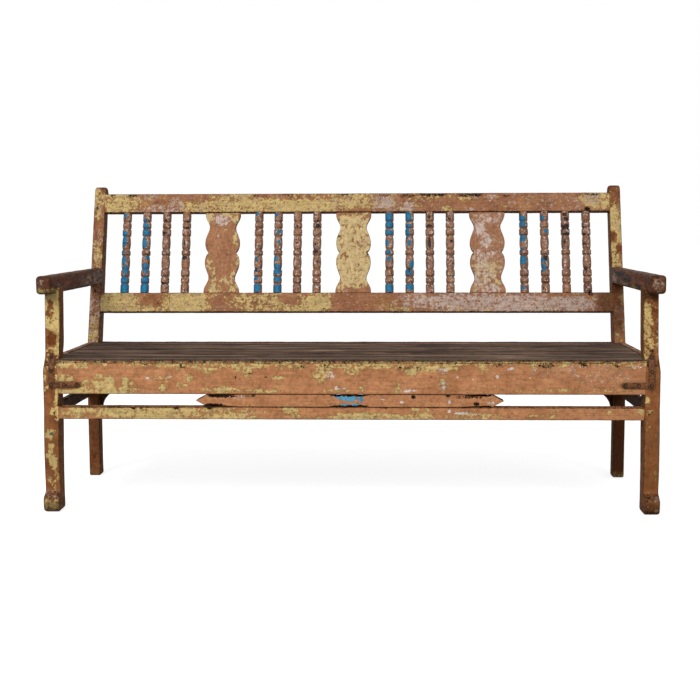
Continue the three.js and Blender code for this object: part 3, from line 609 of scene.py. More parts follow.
# These lie all round, in y and z.
arm_stains = {
    "left": {
        "ochre": [(-340, 648, 50, 10, 0.8)],
        "lilac_and_glints": [(-295, 664, 14, 9, 0.9), (30, 662, 90, 16, 0.55), (170, 664, 60, 24, 0.7)],
        "chips_and_shade": [(-330, 664, 40, 12, 0.5)],
    },
    "right": {
        "chips_and_shade": [(95, 674, 70, 9, 1), (-20, 663, 60, 8, 1), (-210, 650, 60, 8, 1)],
        "lilac_and_glints": [(175, 662, 50, 20, 0.8), (10, 650, 50, 8, 0.8)],
        "ochre": [(-150, 646, 60, 7, 0.8)],
    },
}
for side, arm in (("left", arm_left), ("right", arm_right)):
    weather(arm, (60, 1.6), (15, 0.5))
    lay_coats(
        arm,
        {"ochre": -0.1, "lilac_and_glints": -0.05, "rust": 0.42, "chips_and_shade": 0.2},
        front=arm_coats[side],
        all_round=arm_stains[side],
        arris=0.25,
        across=1,
    )
    fit(arm, arm_wood, f"arm_{side}")


# Front seat rail, a deep plank on edge between the knee blocks. Its top edge is rubbed round
# and splintered by everyone who has sat on it, down to ochre and dark wood, and the face
# keeps most of its terracotta.
rail_end = leg_inner + 5
seat_rail_low, seat_top = 346, 447
nosing_round, nosing_reach = 9.5, 13
rail_paint = old_paint(
    "old terracotta paint, level grain", "BA825A", "A7714C", 0,
    [
        ochre_below,
        ("lilac_and_glints", "D2C2B6", "A4826C", 9, 5.0, 0.15, 0.7, 0.05),
        ("blue", "5499B8", "2A6986", 10, 5, 0.15, -0.3, 0.1),
        ("bare", "6A5A4D", "43372E", 12, 5.5, 0.15, 0.4, 0.2),
        wood_chips,
    ],
)


def bar_along(name, low, high, cells, eased, cuts, steps=17, axis=0, face=knee_face):
    """A straight bar between two corners, with eased edges."""
    stations = []
    for i in range(steps + 1):
        a, b = list(low), list(high)
        a[axis] = b[axis] = low[axis] + (high[axis] - low[axis]) * i / steps
        stations.append((a, b))
    bar = draw_out(name, axis, stations, cells, face=face)
    ease_edges(bar, eased)
    divide_lengthwise(bar, axis, cuts)
    return bar


seat_rail = draw_out(
    "front_seat_rail_worn",
    0,
    [
        ((x, 0.5, seat_rail_low), (x, 44, seat_top))
        for x in [rail_end * (i - 9) / 9 for i in range(19)]
    ],
    (0, 8, 18),
)
pick(
    seat_rail,
    "EDGE",
    lambda middle, way: (middle[:, 1] < 1)
    & (middle[:, 2] > seat_top - 0.5)
    & (np.abs(way[:, 0]) > 10),
)
bpy.ops.mesh.bevel(offset=nosing_round / 1000, segments=6)
bpy.ops.object.mode_set(mode="OBJECT")
ease_edges(seat_rail, 3)
divide_lengthwise(seat_rail, 0, 18)
nosing = seat_rail.vertex_groups.new(name="nosing")
for v in seat_rail.data.vertices:
    away = 1000 * math.hypot(v.co.y - knee_face, v.co.z - seat_top / 1000)
    nosing.add([v.index], max(0.0, 1.3 - away / nosing_reach), "REPLACE")
weather(seat_rail, (50, 0.9))
weather(seat_rail, (11, 4.2), (4, 2.4), group="nosing")
weather(seat_rail, (12, 0.5))
lay_coats(
    seat_rail,
    {"ochre": -0.02, "lilac_and_glints": -0.3, "chips_and_shade": -0.05, "blue": -1, "bare": -1},
    front={
        "ochre": [
            (-805, 428, 59, 9, 0.74), (-841, 393, 15, 21, 0.7), (-812, 396, 10, 18, 0.8),
            (-768, 376, 18, 15, 0.7), (-789, 355, 70, 8, 0.9), (-727, 385, 20, 23, 0.72),
            (-713, 361, 21, 15, 0.85), (-695, 379, 12, 26, 0.9), (-651, 376, 12, 23, 0.85),
            (-669, 355, 41, 9, 0.85), (-622, 358, 23, 9, 0.6), (-634, 376, 12, 12, 0.6),
            (-543, 364, 12, 12, 0.75), (-488, 373, 17, 12, 0.6), (-461, 397, 12, 18, 0.72),
            (-403, 417, 23, 15, 0.62), (-369, 359, 58, 9, 0.8), (-540, 391, 23, 12, 0.5),
            (-490, 426, 146, 9, 0.49), (-301, 414, 26, 15, 0.7), (-281, 429, 46, 9, 0.66),
            (-209, 394, 20, 7, 0.65), (-252, 356, 64, 7, 0.7), (-344, 429, 35, 8, 0.66),
            (-171, 426, 40, 9, 0.49), (-78, 406, 26, 26, 0.72), (37, 429, 156, 10, 0.78),
            (8, 412, 20, 12, 0.7), (-32, 357, 52, 6, 0.7), (34, 363, 9, 9, 0.75),
            (233, 424, 98, 12, 0.7), (178, 409, 17, 7, 0.8), (270, 377, 11, 23, 0.6),
            (138, 366, 12, 17, 0.65), (390, 424, 29, 13, 0.59), (496, 433, 23, 6, 0.49),
            (567, 427, 68, 7, 0.49), (605, 358, 143, 5, 0.5), (776, 358, 57, 5, 0.5),
            (789, 430, 57, 9, 0.37),
        ],
        "lilac_and_glints": [
            (700, 388, 150, 40, 0.04), (556, 416, 29, 14, 0.72), (630, 419, 17, 12, 0.75),
            (610, 404, 17, 6, 0.75), (650, 401, 11, 5, 0.8), (752, 422, 23, 12, 0.6),
            (718, 410, 23, 14, 0.5), (425, 398, 6, 5, 1), (519, 395, 5, 4, 1),
            (-35, 365, 9, 5, 0.9), (-15, 365, 7, 4, 0.9), (270, 372, 11, 17, 0.6),
            (310, 398, 6, 5, 0.8), (356, 392, 6, 3, 0.8), (-584, 394, 9, 5, 0.8),
            (-519, 397, 9, 5, 0.8), (-55, 400, 17, 15, 0.5), (465, 421, 11, 6, 0.8),
            (270, 415, 20, 9, 0.6), (175, 357, 23, 6, 0.8), (796, 393, 9, 6, 0.6),
            (690, 425, 150, 8, 0.3), (580, 408, 60, 20, 0.2), (735, 405, 60, 25, 0.25),
            (820, 425, 20, 10, 0.4),
        ],
        "chips_and_shade": [
            (-330, 394, 6, 4, 0.62), (-287, 406, 7, 4, 0.62), (-240, 397, 5, 3, 0.62),
            (-281, 388, 3, 3, 0.56), (239, 395, 6, 3, 0.56), (328, 395, 3, 4, 0.5),
            (-484, 426, 9, 5, 0.63), (-592, 429, 9, 4, 0.56), (-142, 426, 23, 5, 0.49),
            (-70, 426, 23, 6, 0.42), (175, 424, 40, 6, 0.43), (419, 430, 34, 6, 0.5),
            (562, 430, 40, 6, 0.56), (766, 430, 11, 5, 0.49), (675, 433, 17, 5, 0.49),
            (-858, 428, 9, 6, 0.35),
        ],
    },
    all_round={
        "bare": [(0, 450, 2000, 9.5, 1.05)],
        "chips_and_shade": [(0, 440, 2000, 5, 0.3)],
        "ochre": [(0, 438, 2000, 7, 0.6)],
        # A painted shadow round the flat arm of each corner plate.
        "grime_and_shade": [(x * side, 373.5, 26, 9.8, 0.85) for x in (802, 828, 850) for side in (-1, 1)],
    },
    arris=0.12,
)
fit(seat_rail, rail_paint, "front_seat_rail")


# Stretchers. A plain square one joins the front legs, pegged through each tenon with a
# wooden peg, and two thin ones run back from the legs to the posts, flush outside.
stretcher_low, stretcher_high = 272, 309
stretcher = bar_along(
    "front_stretcher_worn", (-rail_end, 1, stretcher_low), (rail_end, 43, stretcher_high),
    cells=(0, 8, 8), eased=2.6, cuts=18,
)
weather(stretcher, (50, 0.9), (12, 0.6))
lay_coats(
    stretcher,
    {"lilac_and_glints": -0.3, "chips_and_shade": -0.05, "blue": -1, "bare": -1},
    front={
        "ochre": [
            (-800, 293, 47, 21, 0.55), (-580, 294, 176, 24, 0.88), (-396, 297, 41, 21, 0.5),
            (-332, 294, 41, 21, 0.6), (-341, 280, 99, 8, 0.8), (-253, 292, 41, 15, 0.4),
            (-169, 298, 26, 18, 0.68), (-85, 279, 81, 6, 0.55), (48, 284, 93, 11, 0.85),
            (204, 284, 58, 9, 0.6), (161, 281, 75, 6, 0.75), (360, 284, 63, 9, 0.8),
            (190, 304, 14, 6, 0.7), (227, 305, 12, 6, 0.7), (538, 282, 29, 7, 0.62),
            (584, 297, 9, 7, 0.75), (584, 282, 14, 6, 0.7), (749, 300, 9, 9, 0.6),
            (835, 300, 11, 9, 0.7), (435, 282, 172, 4, 0.4),
        ],
        "lilac_and_glints": [
            (325, 293, 29, 5, 0.85), (288, 299, 6, 6, 0.8), (-294, 289, 6, 6, 0.7),
            (363, 290, 11, 5, 0.6),
        ],
        "chips_and_shade": [
            (-603, 305, 7, 3, 0.9), (-627, 305, 5, 3, 0.8), (-504, 306, 9, 3, 0.9),
            (-405, 306, 9, 3, 0.7), (-668, 308, 176, 2, 0.55), (103, 307, 9, 3, 0.7),
        ],
    },
    # The top face is chipped darker: wear to the dark wood and painted shade under the board and
    # seat rail.
    top=0.45,
    arris=0.4,
)
fit(stretcher, rail_paint, "front_stretcher")
side_paint = old_paint(
    "brown paint and stain, grain along the sides", "543219", "2E1B0F", 1,
    [ochre_below, lilac_below, wood_chips],
)
for side, x, ochre in (("left", -879, 0.25), ("right", 879, -0.1)):
    runner = bar_along(
        f"side_stretcher_{side}_worn", (x - 9, 47, stretcher_low), (x + 9, 508, stretcher_high),
        cells=(3, 0, 5), eased=2, cuts=5, steps=8, axis=1,
    )
    weather(runner, (40, 1.4))
    grounds = {"ochre": ochre, "lilac_and_glints": -0.4, "chips_and_shade": 0.05, "grime_and_shade": 0.2}
    lay_coats(runner, grounds, inner=0.5, arris=0.4)
    fit(runner, side_paint, f"side_stretcher_{side}")
peg_wood = old_paint("end grain of a peg", "5A3F2A", "2E1D14", 1, [wood_chips], (0.6, 0.8))
peg_level = 290.5
for side, x in (("left", -leg_inner - 13), ("right", leg_inner + 13)):
    peg = draw_out(
        f"stretcher_peg_{side}_worn",
        1,
        [
            ((x - r, y, peg_level - r), (x + r, y, peg_level + r))
            for y, r in ((33.5, 3.6), (2, 3.8), (-0.2, 3.6), (-1.2, 2.6))
        ],
        (),
        12,
    )
    lay_coats(peg, {"chips_and_shade": 0.35})
    fit(peg, peg_wood, f"stretcher_peg_{side}")


# Carved board between seat rail and stretcher: a 38 mm plank sawn to arrow ends, long waists
# and a pair of small lobes in the middle, set 3 mm back. Salmon, with blue left at the lobes.
board_middle, board_half = 327.5, 18.2
# Distance from the middle, how far in the edge lies
board_edge = [
    (0, 4.2), (5, 4.2), (6, 2.8), (8, 1.4), (11, 0.4), (15, 0), (19, 0.4), (22, 1.4), (24, 2.8),
    (25, 4.2), (32, 4.2), (40, 4.2), (43, 2.8), (47, 0), (62, 0), (82, 0), (102, 0), (122, 0),
    (142, 0), (162, 0), (182, 0), (202, 0), (222, 0), (242, 0), (262, 0), (282, 0), (300, 0),
    (316, 0), (328, 0.6), (340, 1.3), (352, 1.9), (364, 2.5), (376, 3.1), (388, 3.7), (402, 4.2),
    (407, 2.8), (412, 0), (418, 3.2), (424, 6.4), (430, 9.5), (436, 12.7), (441, 15.3),
    (444.6, 17.1),
]


def both_ways(half):
    """A profile from its middle outward, completed by its mirror image."""
    return [(-way, size) for way, size in half[:0:-1]] + half


board = draw_out(
    "carved_board_worn",
    0,
    [
        (
            (x, 3, board_middle - board_half + inset),
            (x, 41, board_middle + board_half - inset),
        )
        for x, inset in both_ways(board_edge)
    ],
    (0, 4, 8),
)
divide_lengthwise(board, 0, 2, 9)
ease_edges(board, 1.4, angle=60)
weather(board, (40, 0.8), (10, 0.5))
lay_coats(
    board,
    {"ochre": -0.2, "lilac_and_glints": -0.25, "chips_and_shade": -0.05, "blue": -1, "bare": -1},
    front={
        "blue": [
            (-24, 337, 14, 9, 0.85), (5, 336, 23, 11, 0.85), (34, 332, 9, 13, 0.85),
            (-12, 315, 17, 5, 0.85), (17, 315, 17, 5, 0.85), (-41, 342, 12, 4, 0.59),
            (-12, 327, 9, 4, 0.59),
        ],
        "lilac_and_glints": [
            (152, 324, 5, 6, 1), (288, 325, 7, 6, 1), (98, 333, 6, 4, 0.9), (216, 328, 6, 3, 0.7),
            (406, 322, 14, 6, 0.6), (184, 333, 4, 3, 0.8), (-317, 338, 41, 6, 0.4),
        ],
        "chips_and_shade": [
            (-369, 340, 41, 4, 0.98), (-396, 314, 29, 5, 1.04), (-288, 341, 23, 3, 0.65),
            (366, 319, 9, 5, 1.04), (348, 339, 40, 4, 0.65), (184, 339, 6, 6, 1.04),
            (285, 342, 6, 4, 1.04),
        ],
    },
    # The hollows of the lobes and the sawn top and bottom edges are dark: bare wood and painted
    # shade.
    all_round={"chips_and_shade": [(x, z, 22, 6, 0.8) for x in (-34, 0, 34) for z in (309, 346)]},
    top=1,
    arris=0.3,
)
fit(board, rail_paint, "carved_board")


# Side seat rails, tenoned into the knee blocks and the posts, with a rebate along the inner
# top edge for the ends of the seat slats. Brown, worn at the top.
side_rail_paint = old_paint(
    "old brown paint, grain along the sides", "7A5136", "5A3A25", 1,
    [ochre_below, lilac_below, rust_worn, wood_chips],
)
slat_low, ledge = 429, 13.9
side_rail = bar_along(
    "side_seat_rail_right_worn", (865.2, 49, seat_rail_low), (888.5, 524, seat_top),
    cells=(3, 0, 5), eased=2.5, cuts=4, steps=12, axis=1,
)
pick(
    side_rail,
    "FACE",
    lambda middle, normal: (normal[:, 0] < -0.9) & (middle[:, 2] < slat_low - 1),
)
bpy.ops.mesh.extrude_region_move(TRANSFORM_OT_translate={"value": (-ledge / 1000, 0, 0)})
bpy.ops.object.mode_set(mode="OBJECT")
side_rail_left = mirror_over(side_rail, "side_seat_rail_left_worn")
for side, rail, x in (("left", side_rail_left, -877), ("right", side_rail, 877)):
    weather(rail, (40, 1.4))
    lay_coats(
        rail,
        {"ochre": 0.1, "lilac_and_glints": 0.02, "rust": 0.4, "chips_and_shade": 0.02},
        # A pale line of ochre and lilac along the top edge: paint, lightened as a painted highlight
        # on the edge.
        all_round={"ochre": [(x, 448, 900, 5, 0.4)], "lilac_and_glints": [(x, 448, 900, 5, 0.5)]},
        inner=0.6,
        top=0.1,
        arris=0.4,
    )
    fit(rail, side_rail_paint, f"side_seat_rail_{side}")


# Back seat rail, a deep plank between the posts that closes the seat box at the back, and
# the two quarter-round brackets below it in the corners. Bare, dark and dusty wood.
hidden_paint = old_paint(
    "thin brown stain, level grain", "5E3D27", "3C2617", 0,
    [("rust", "7A4A2A", "6A3F24", 40, 2.5, 0.3, 0.2, 0.5), ochre_below, wood_chips],
)
back_rail_end, back_rail_low = 856, 287
back_rail = bar_along(
    "back_seat_rail_worn", (-back_rail_end, 520.5, back_rail_low), (back_rail_end, 550.5, seat_top),
    cells=(0, 4, 12), eased=3, cuts=10,
)
weather(back_rail, (50, 1.8))
lay_coats(back_rail, {"rust": 0.45, "chips_and_shade": 0.05, "grime_and_shade": 0.25}, arris=0.4)
fit(back_rail, hidden_paint, "back_seat_rail")
corner_x, corner_z = 850.7, 286.7
# Distance in from the post, height of the lower edge below the rail
bracket_edge = [
    (62.5, 4.5), (60, 4.6), (56, 4.9), (51, 5.7), (46, 6.9), (41, 8.7), (36, 11), (31, 14),
    (26, 17.8), (21, 22.5), (17, 27), (13, 32.6), (10, 38), (7.5, 43.9), (5.6, 50.8), (4.6, 58.2),
    (4.5, 62.4), (0, 62.5),
]
bracket_right = draw_out(
    "rear_bracket_right_worn",
    0,
    [
        ((corner_x - x, 525.5, corner_z - drop), (corner_x - x, 545.5, corner_z))
        for x, drop in bracket_edge
    ],
    (0, 3, 4),
)
ease_edges(bracket_right, 1.2, angle=60)
bracket_left = mirror_over(bracket_right, "rear_bracket_left_worn")
for side, bracket in (("left", bracket_left), ("right", bracket_right)):
    lay_coats(bracket, {"ochre": -0.1, "rust": 0.5, "chips_and_shade": 0.1, "grime_and_shade": 0.3}, arris=0.3)
    fit(bracket, hidden_paint, f"rear_bracket_{side}")


# Seat. Two bearers are tenoned between the front and back rails, and seven thin boards run
# the length of the bench across them. Bare wood, greyed and scuffed, darkest at the front.
seat_front = 44.3
slat_pitch, slat_wide, slat_end = 68.27, 66.3, 864.7
for i, x in enumerate((-290, 290)):
    bearer = bar_along(
        f"seat_bearer_{i + 1}_worn", (x - 20, seat_front, 368.7), (x + 20, 520.2, slat_low - 0.3),
        cells=(3, 0, 4), eased=2, cuts=3, steps=12, axis=1,
    )
    weather(bearer, (40, 0.8))
    grounds = {"ochre": -1, "lilac_and_glints": -1, "rust": 0.4, "chips_and_shade": 0.1, "grime_and_shade": 0.4}
    lay_coats(bearer, grounds, arris=0.2)
    fit(bearer, side_rail_paint, f"seat_bearer_{i + 1}")
seat_wood, tree = new_material("greyed bare softwood, scuffed")
place = add(tree, "TexCoord", take="Object")
along = add(tree, "Mapping", {"Scale": (0.08, 1, 1), "Vector": place})
drawn = add(tree, "Mapping", {"Scale": (0.1, 1, 1), "Vector": place})
# Grain is drawn 22 mm wide, coarser than it is, to show from in front. Scuffs are 42 mm wide
# and ten times as long, and grey weathering varies over 150 mm.
shifted = {"noise_dimensions": "4D", "W": 2, "Distortion": 0.4}
grain, scuff, grey = (
    add(
        tree,
        "TexNoise",
        more | {"Scale": 1000 / size, "Detail": detail, "Roughness": broken, "Vector": way},
    )
    for size, detail, broken, way, more in (
        (22, 6, 0.75, along, {}), (42, 6, 0.75, drawn, shifted), (150, 4, 0.6, place, {})
    )
)
tone = add(tree, "Attribute", {"attribute_name": "board_tone"}, take="Fac")
grey = add(tree, "Math", {"operation": "ADD", 0: grey, 1: tone})
share = add(tree, "MapRange", {"From Min": 0.38, "From Max": 0.66, "Value": grey})
mix = {"data_type": "RGBA"}
colour = add(tree, "Mix", mix | {6: linear("49392F"), 7: linear("685245"), 0: share}, 2)
for low, high, hue in ((0.53, 0.62, "967B66"), (0.47, 0.39, "231712")):
    share = add(tree, "MapRange", {"From Min": low, "From Max": high, "Value": scuff})
    colour = add(tree, "Mix", mix | {7: linear(hue), 0: share, 6: colour}, 2)
reach = {"From Min": 0.36, "From Max": 0.62, "To Min": 0.4, "To Max": 1.4}
lines = add(tree, "MapRange", reach | {"Value": grain})
seam = add(tree, "Attribute", {"attribute_name": "seam"}, take="Fac")
seam = add(tree, "Math", {"operation": "MULTIPLY_ADD", 1: -0.35, 2: 1.0, 0: seam})
for shade in (lines, seam):
    multiply = mix | {"blend_type": "MULTIPLY", 0: 1.0}
    colour = add(tree, "Mix", multiply | {6: colour, 7: shade}, 2)
bump = add(tree, "Bump", {"Strength": 0.6, "Distance": 0.0012, "Height": grain})
surface = add(
    tree,
    "BsdfPrincipled",
    {"Roughness": 0.85, "IOR": 1.45, "Specular IOR Level": 0.06}
    | {"Base Color": colour, "Normal": bump},
)
add(tree, "OutputMaterial", {"Surface": surface})
# How far a board's top lies below the rails, and how much greyer it is
slat_traits = [
    (0.6, -0.06), (1.4, 0.05), (0.9, 0.02), (1.8, -0.03), (0.4, 0.07), (1.2, -0.02), (0.8, 0.04)
]
for i, (sink, tone) in enumerate(slat_traits):
    front = seat_front + slat_pitch * i
    slat = bar_along(
        f"seat_slat_{i + 1}_worn",
        (-slat_end, front, slat_low), (slat_end, front + slat_wide, seat_top - sink),
        cells=(0, 8, 3), eased=2.2, cuts=8,
    )
    weather(slat, (90, 1.2), (14, 0.6))
    # Each board darkens towards both its edges.
    across = 1000 * (read(slat.data.vertices, "co")[:, 1] - knee_face) - front
    edge_darkening = np.maximum(0, 1 - np.minimum(across, slat_wide - across) / 12)
    for name, level in (("board_tone", np.full(len(edge_darkening), tone)), ("seam", edge_darkening)):
        slat.data.attributes.new(name, "FLOAT", "POINT").data.foreach_set("value", level)
    fit(slat, seat_wood, f"seat_slat_{i + 1}")


# Back rails. Two 25 mm planks tenoned between the raked posts carry the spindles and the
# splats. Ochre and terracotta are worn to about equal shares on the top one.
back_paint = old_paint(
    "old terracotta paint on the back rails", "A5724E", "8C5C42", 0,
    [ochre_below, lilac_below, rust_worn, wood_chips],
)


def lean_back(piece):
    """Leans a piece drawn upright over the bend line back to the rake of the posts."""
    piece.rotation_euler = (-rake, 0, 0)
    piece.location = bend
    settle(piece)


back_rail_coats = {
    "lower_back_rail": {
        "ochre": [
            (-787, 575, 81, 39, 0.95), (-679, 582, 51, 26, 0.2), (-685, 555, 54, 13, 0.8),
            (-558, 575, 87, 39, 0.9), (-447, 578, 40, 26, 0.2), (-367, 571, 47, 33, 0.66),
            (-283, 575, 47, 33, 0.76), (-213, 588, 30, 20, 0.3), (-196, 555, 47, 13, 0.81),
            (-123, 575, 53, 33, 0.91), (-39, 588, 40, 20, 0.15), (11, 575, 60, 33, 0.05),
            (117, 575, 33, 13, 0.45), (144, 555, 46, 10, 0.6), (322, 558, 40, 13, 0.66),
            (415, 552, 46, 8, 0.6), (547, 558, 46, 10, 0.4), (603, 555, 53, 10, 0.5),
            (705, 577, 66, 19, 0.4), (795, 590, 46, 10, 0.45),
        ],
        "lilac_and_glints": [
            (349, 578, 113, 29, 0.76), (547, 574, 165, 29, 0.8), (728, 571, 72, 23, 0.78),
            (217, 581, 73, 23, 0.7),
        ],
        "rust": [(-666, 585, 47, 23, 0.45), (830, 574, 39, 39, 0.4)],
        "chips_and_shade": [
            (-827, 575, 4, 4, 0.35), (-561, 575, 4, 4, 0.54), (-256, 552, 10, 4, 0.48),
            (-96, 555, 13, 4, 0.48), (279, 561, 5, 10, 0.36), (600, 558, 3, 13, 0.42),
            (779, 603, 10, 7, 0.57),
        ],
    },
    "top_rail": {
        "ochre": [
            (-795, 906, 69, 41, 0.78), (-700, 919, 41, 27, 0.45), (-644, 909, 51, 27, 0.25),
            (-535, 891, 61, 24, 0.8), (-529, 925, 55, 14, 0.2), (-399, 905, 89, 41, 0.82),
            (-253, 928, 82, 14, 0.25), (-181, 897, 149, 30, 0.96), (-171, 927, 136, 10, 0.43),
            (-12, 913, 81, 27, 0.83), (9, 880, 61, 10, 0.25), (100, 910, 54, 27, 0.5),
            (177, 896, 34, 27, 0.4), (312, 885, 20, 10, 0.75), (258, 926, 54, 8, 0.6),
            (386, 922, 40, 8, 0.5), (554, 908, 47, 30, 0.25), (808, 911, 53, 30, 0.82),
            (770, 877, 47, 13, 0.3),
        ],
        "lilac_and_glints": [
            (-664, 885, 62, 14, 0.62), (-610, 902, 21, 20, 0.6), (-700, 926, 21, 14, 0.5),
            (96, 906, 47, 27, 0.66), (174, 893, 27, 20, 0.7), (379, 882, 17, 10, 0.6),
            (464, 925, 27, 7, 0.55), (403, 925, 17, 7, 0.5), (738, 901, 33, 17, 0.5),
            (792, 917, 33, 17, 0.5), (638, 918, 100, 17, 0.42), (560, 918, 60, 20, 0.3),
            (690, 893, 60, 20, 0.3), (-40, 905, 80, 27, 0.2),
        ],
        "chips_and_shade": [
            (-827, 933, 14, 5, 0.5), (-758, 933, 21, 7, 0.58), (-338, 931, 17, 5, 0.54),
            (-229, 934, 20, 7, 0.54), (-36, 934, 27, 5, 0.43), (100, 933, 27, 5, 0.43),
            (174, 930, 27, 7, 0.5), (258, 933, 47, 7, 0.61), (386, 932, 47, 7, 0.58),
            (504, 928, 20, 5, 0.43), (789, 931, 40, 5, 0.43), (777, 881, 10, 10, 0.95),
        ],
    },
}
# Until they are leaned back, heights and depths count from the bend line.
rail_height = 66.5
for name, low in (("lower_back_rail", 162.8), ("top_rail", 507.6)):
    bar = bar_along(
        f"{name}_worn", (-back_rail_end, 0.5, low), (back_rail_end, 25, low + rail_height),
        cells=(0, 5, 13), eased=2.6, cuts=18, face=0,
    )
    lean_back(bar)
    weather(bar, (50, 0.9), (12, 0.5))
    lay_coats(
        bar,
        {"ochre": 0.17, "lilac_and_glints": 0.14},
        front=back_rail_coats[name],
        # The lower rail is darker at its right end, by the post.
        all_round={"grime_and_shade": [(845, 574, 40, 60, 0.6)]},
        arris=0.5,
        lean=rake,
    )
    fit(bar, back_paint, name)


# Splats. Three 14 mm boards sawn to a double lobe with a cusp in the middle, tenoned into
# both rails. The middle one is worn almost to the ochre, the outer ones are terracotta.
splat_middle = 368.45
# Height from the middle, half width
splat_edge = [
    (0, 46), (3, 49), (7, 52), (10, 53.8), (14, 55.4), (18, 56.3), (22, 57.4), (26, 57.9),
    (30, 58.2), (36, 58.2), (40, 57.9), (44, 57.4), (48, 56.6), (51, 55.9), (55, 54.7), (58, 53.5),
    (62, 51.9), (65, 51), (69, 49.4), (72, 48), (76, 46.6), (79, 45.6), (83, 44.8), (86, 44.5),
    (90, 44.5), (93, 45), (97, 46), (100, 47.2), (104, 49), (107, 50.6), (111, 52.8), (115, 54.8),
    (118, 56.3), (122, 57.6), (125, 58.6), (129, 59.3), (133, 59.5), (139.4, 59.5),
]
splat_paint = old_paint(
    "old terracotta paint, upright grain of the splats", "A77553", "95654A", 2,
    [
        ("ochre", "C6AD7C", "94703F", 27, 5.5, 0.12, 0.8, 0.08),
        ("lilac_and_glints", "C4AFA3", "9A7460", 24, 5.0, 0.5, 0.5, 0.1),
        wood_chips,
    ],
)
splat_coats = {
    "left": {
        "ochre": [
            (-497, 861, 20, 20, 0.85), (-402, 861, 20, 20, 0.85), (-433, 868, 34, 7, 0.7),
            (-400, 790, 10, 30, 0.75), (-395, 710, 10, 30, 0.7), (-489, 710, 10, 27, 0.55),
            (-474, 667, 10, 30, 0.62), (-406, 647, 13, 33, 0.7), (-477, 627, 20, 23, 0.68),
            (-440, 637, 17, 20, 0.6), (-396, 620, 17, 16, 0.7), (-433, 617, 34, 13, 0.5),
        ],
        "lilac_and_glints": [(-453, 851, 31, 20, 0.78), (-461, 797, 6, 6, 1.1)],
        "chips_and_shade": [(-507, 737, 7, 7, 0.8), (-389, 740, 7, 7, 0.8)],
    },
    "middle": {
        "ochre": [
            (-4, 742, 81, 153, 0.92), (16, 792, 24, 30, 0.6), (-38, 729, 13, 13, 0.35),
            (-35, 870, 27, 8, 0.4), (-3, 617, 74, 15, 0.12), (-53, 617, 13, 20, 0.5),
            (3, 630, 27, 10, 0.6),
        ],
        "lilac_and_glints": [(-27, 613, 10, 5, 0.9), (23, 766, 13, 20, 0.5)],
        "chips_and_shade": [(-55, 796, 5, 5, 0.7), (43, 739, 7, 7, 0.8)],
    },
    "right": {
        "ochre": [
            (436, 672, 44, 44, 0.8), (400, 633, 20, 23, 0.6), (473, 633, 23, 23, 0.55),
            (484, 698, 13, 26, 0.55), (398, 722, 10, 20, 0.5), (459, 781, 13, 27, 0.35),
        ],
        "lilac_and_glints": [
            (419, 821, 17, 27, 0.85), (435, 781, 20, 23, 0.8), (441, 725, 53, 26, 0.57),
            (430, 666, 40, 39, 0.6), (446, 855, 54, 17, 0.55), (443, 620, 46, 16, 0.65),
        ],
        "chips_and_shade": [(391, 738, 7, 7, 0.8), (495, 741, 7, 7, 0.8)],
    },
}
for side, x, lilac_and_glints, slot in (
    ("left", -448.1, -0.15, "salmon_paint"),
    ("middle", -6, -0.15, "ochre_paint"),
    ("right", 442.2, 0.18, "salmon_paint"),
):
    splat = draw_out(
        f"splat_{side}_worn",
        2,
        [
            ((x - half, 5.5, splat_middle + z), (x + half, 19.5, splat_middle + z))
            for z, half in both_ways(splat_edge)
        ],
        (14, 3, 0),
        face=0,
    )
    ease_edges(splat, 1.4, angle=60)
    lean_back(splat)
    weather(splat, (40, 0.8))
    lay_coats(
        splat,
        {"ochre": 0.08, "lilac_and_glints": lilac_and_glints, "chips_and_shade": -0.05},
        front=splat_coats[side],
        # Sawn sides are darkened: darker bare wood and painted shade.
        sides=0.7,
        arris=0.4,
        lean=rake,
    )
    fit(splat, splat_paint, f"splat_{side}")


# Spindles. Sixteen turned bars in four groups, each with a long bulb above and below a middle
# ring, and a block at either end. The first two of each group keep flaking blue paint.
spindle_paint = old_paint(
    "old brown paint on turned wood, with blue", "A06A46", "744A32", 2,
    [
        rust_worn,
        ("ochre", "BDA468", "8C6639", 16, 5.5, 0.08, 0.6, 0.05),
        ("lilac_and_glints", "D0BEB3", "9A7460", 11, 5.5, 0.2, 0.6, 0.05),
        ("blue", "077199", "062C40", 14, 5.0, 0.12, -0.3, 0.05),
        ("chips_and_shade", "12080A", "2E1A14", 12, 5.0, 0.1, 1.4, 0.05),
    ],
    rough=(0.3, 0.65),
    shine=0.25,
)
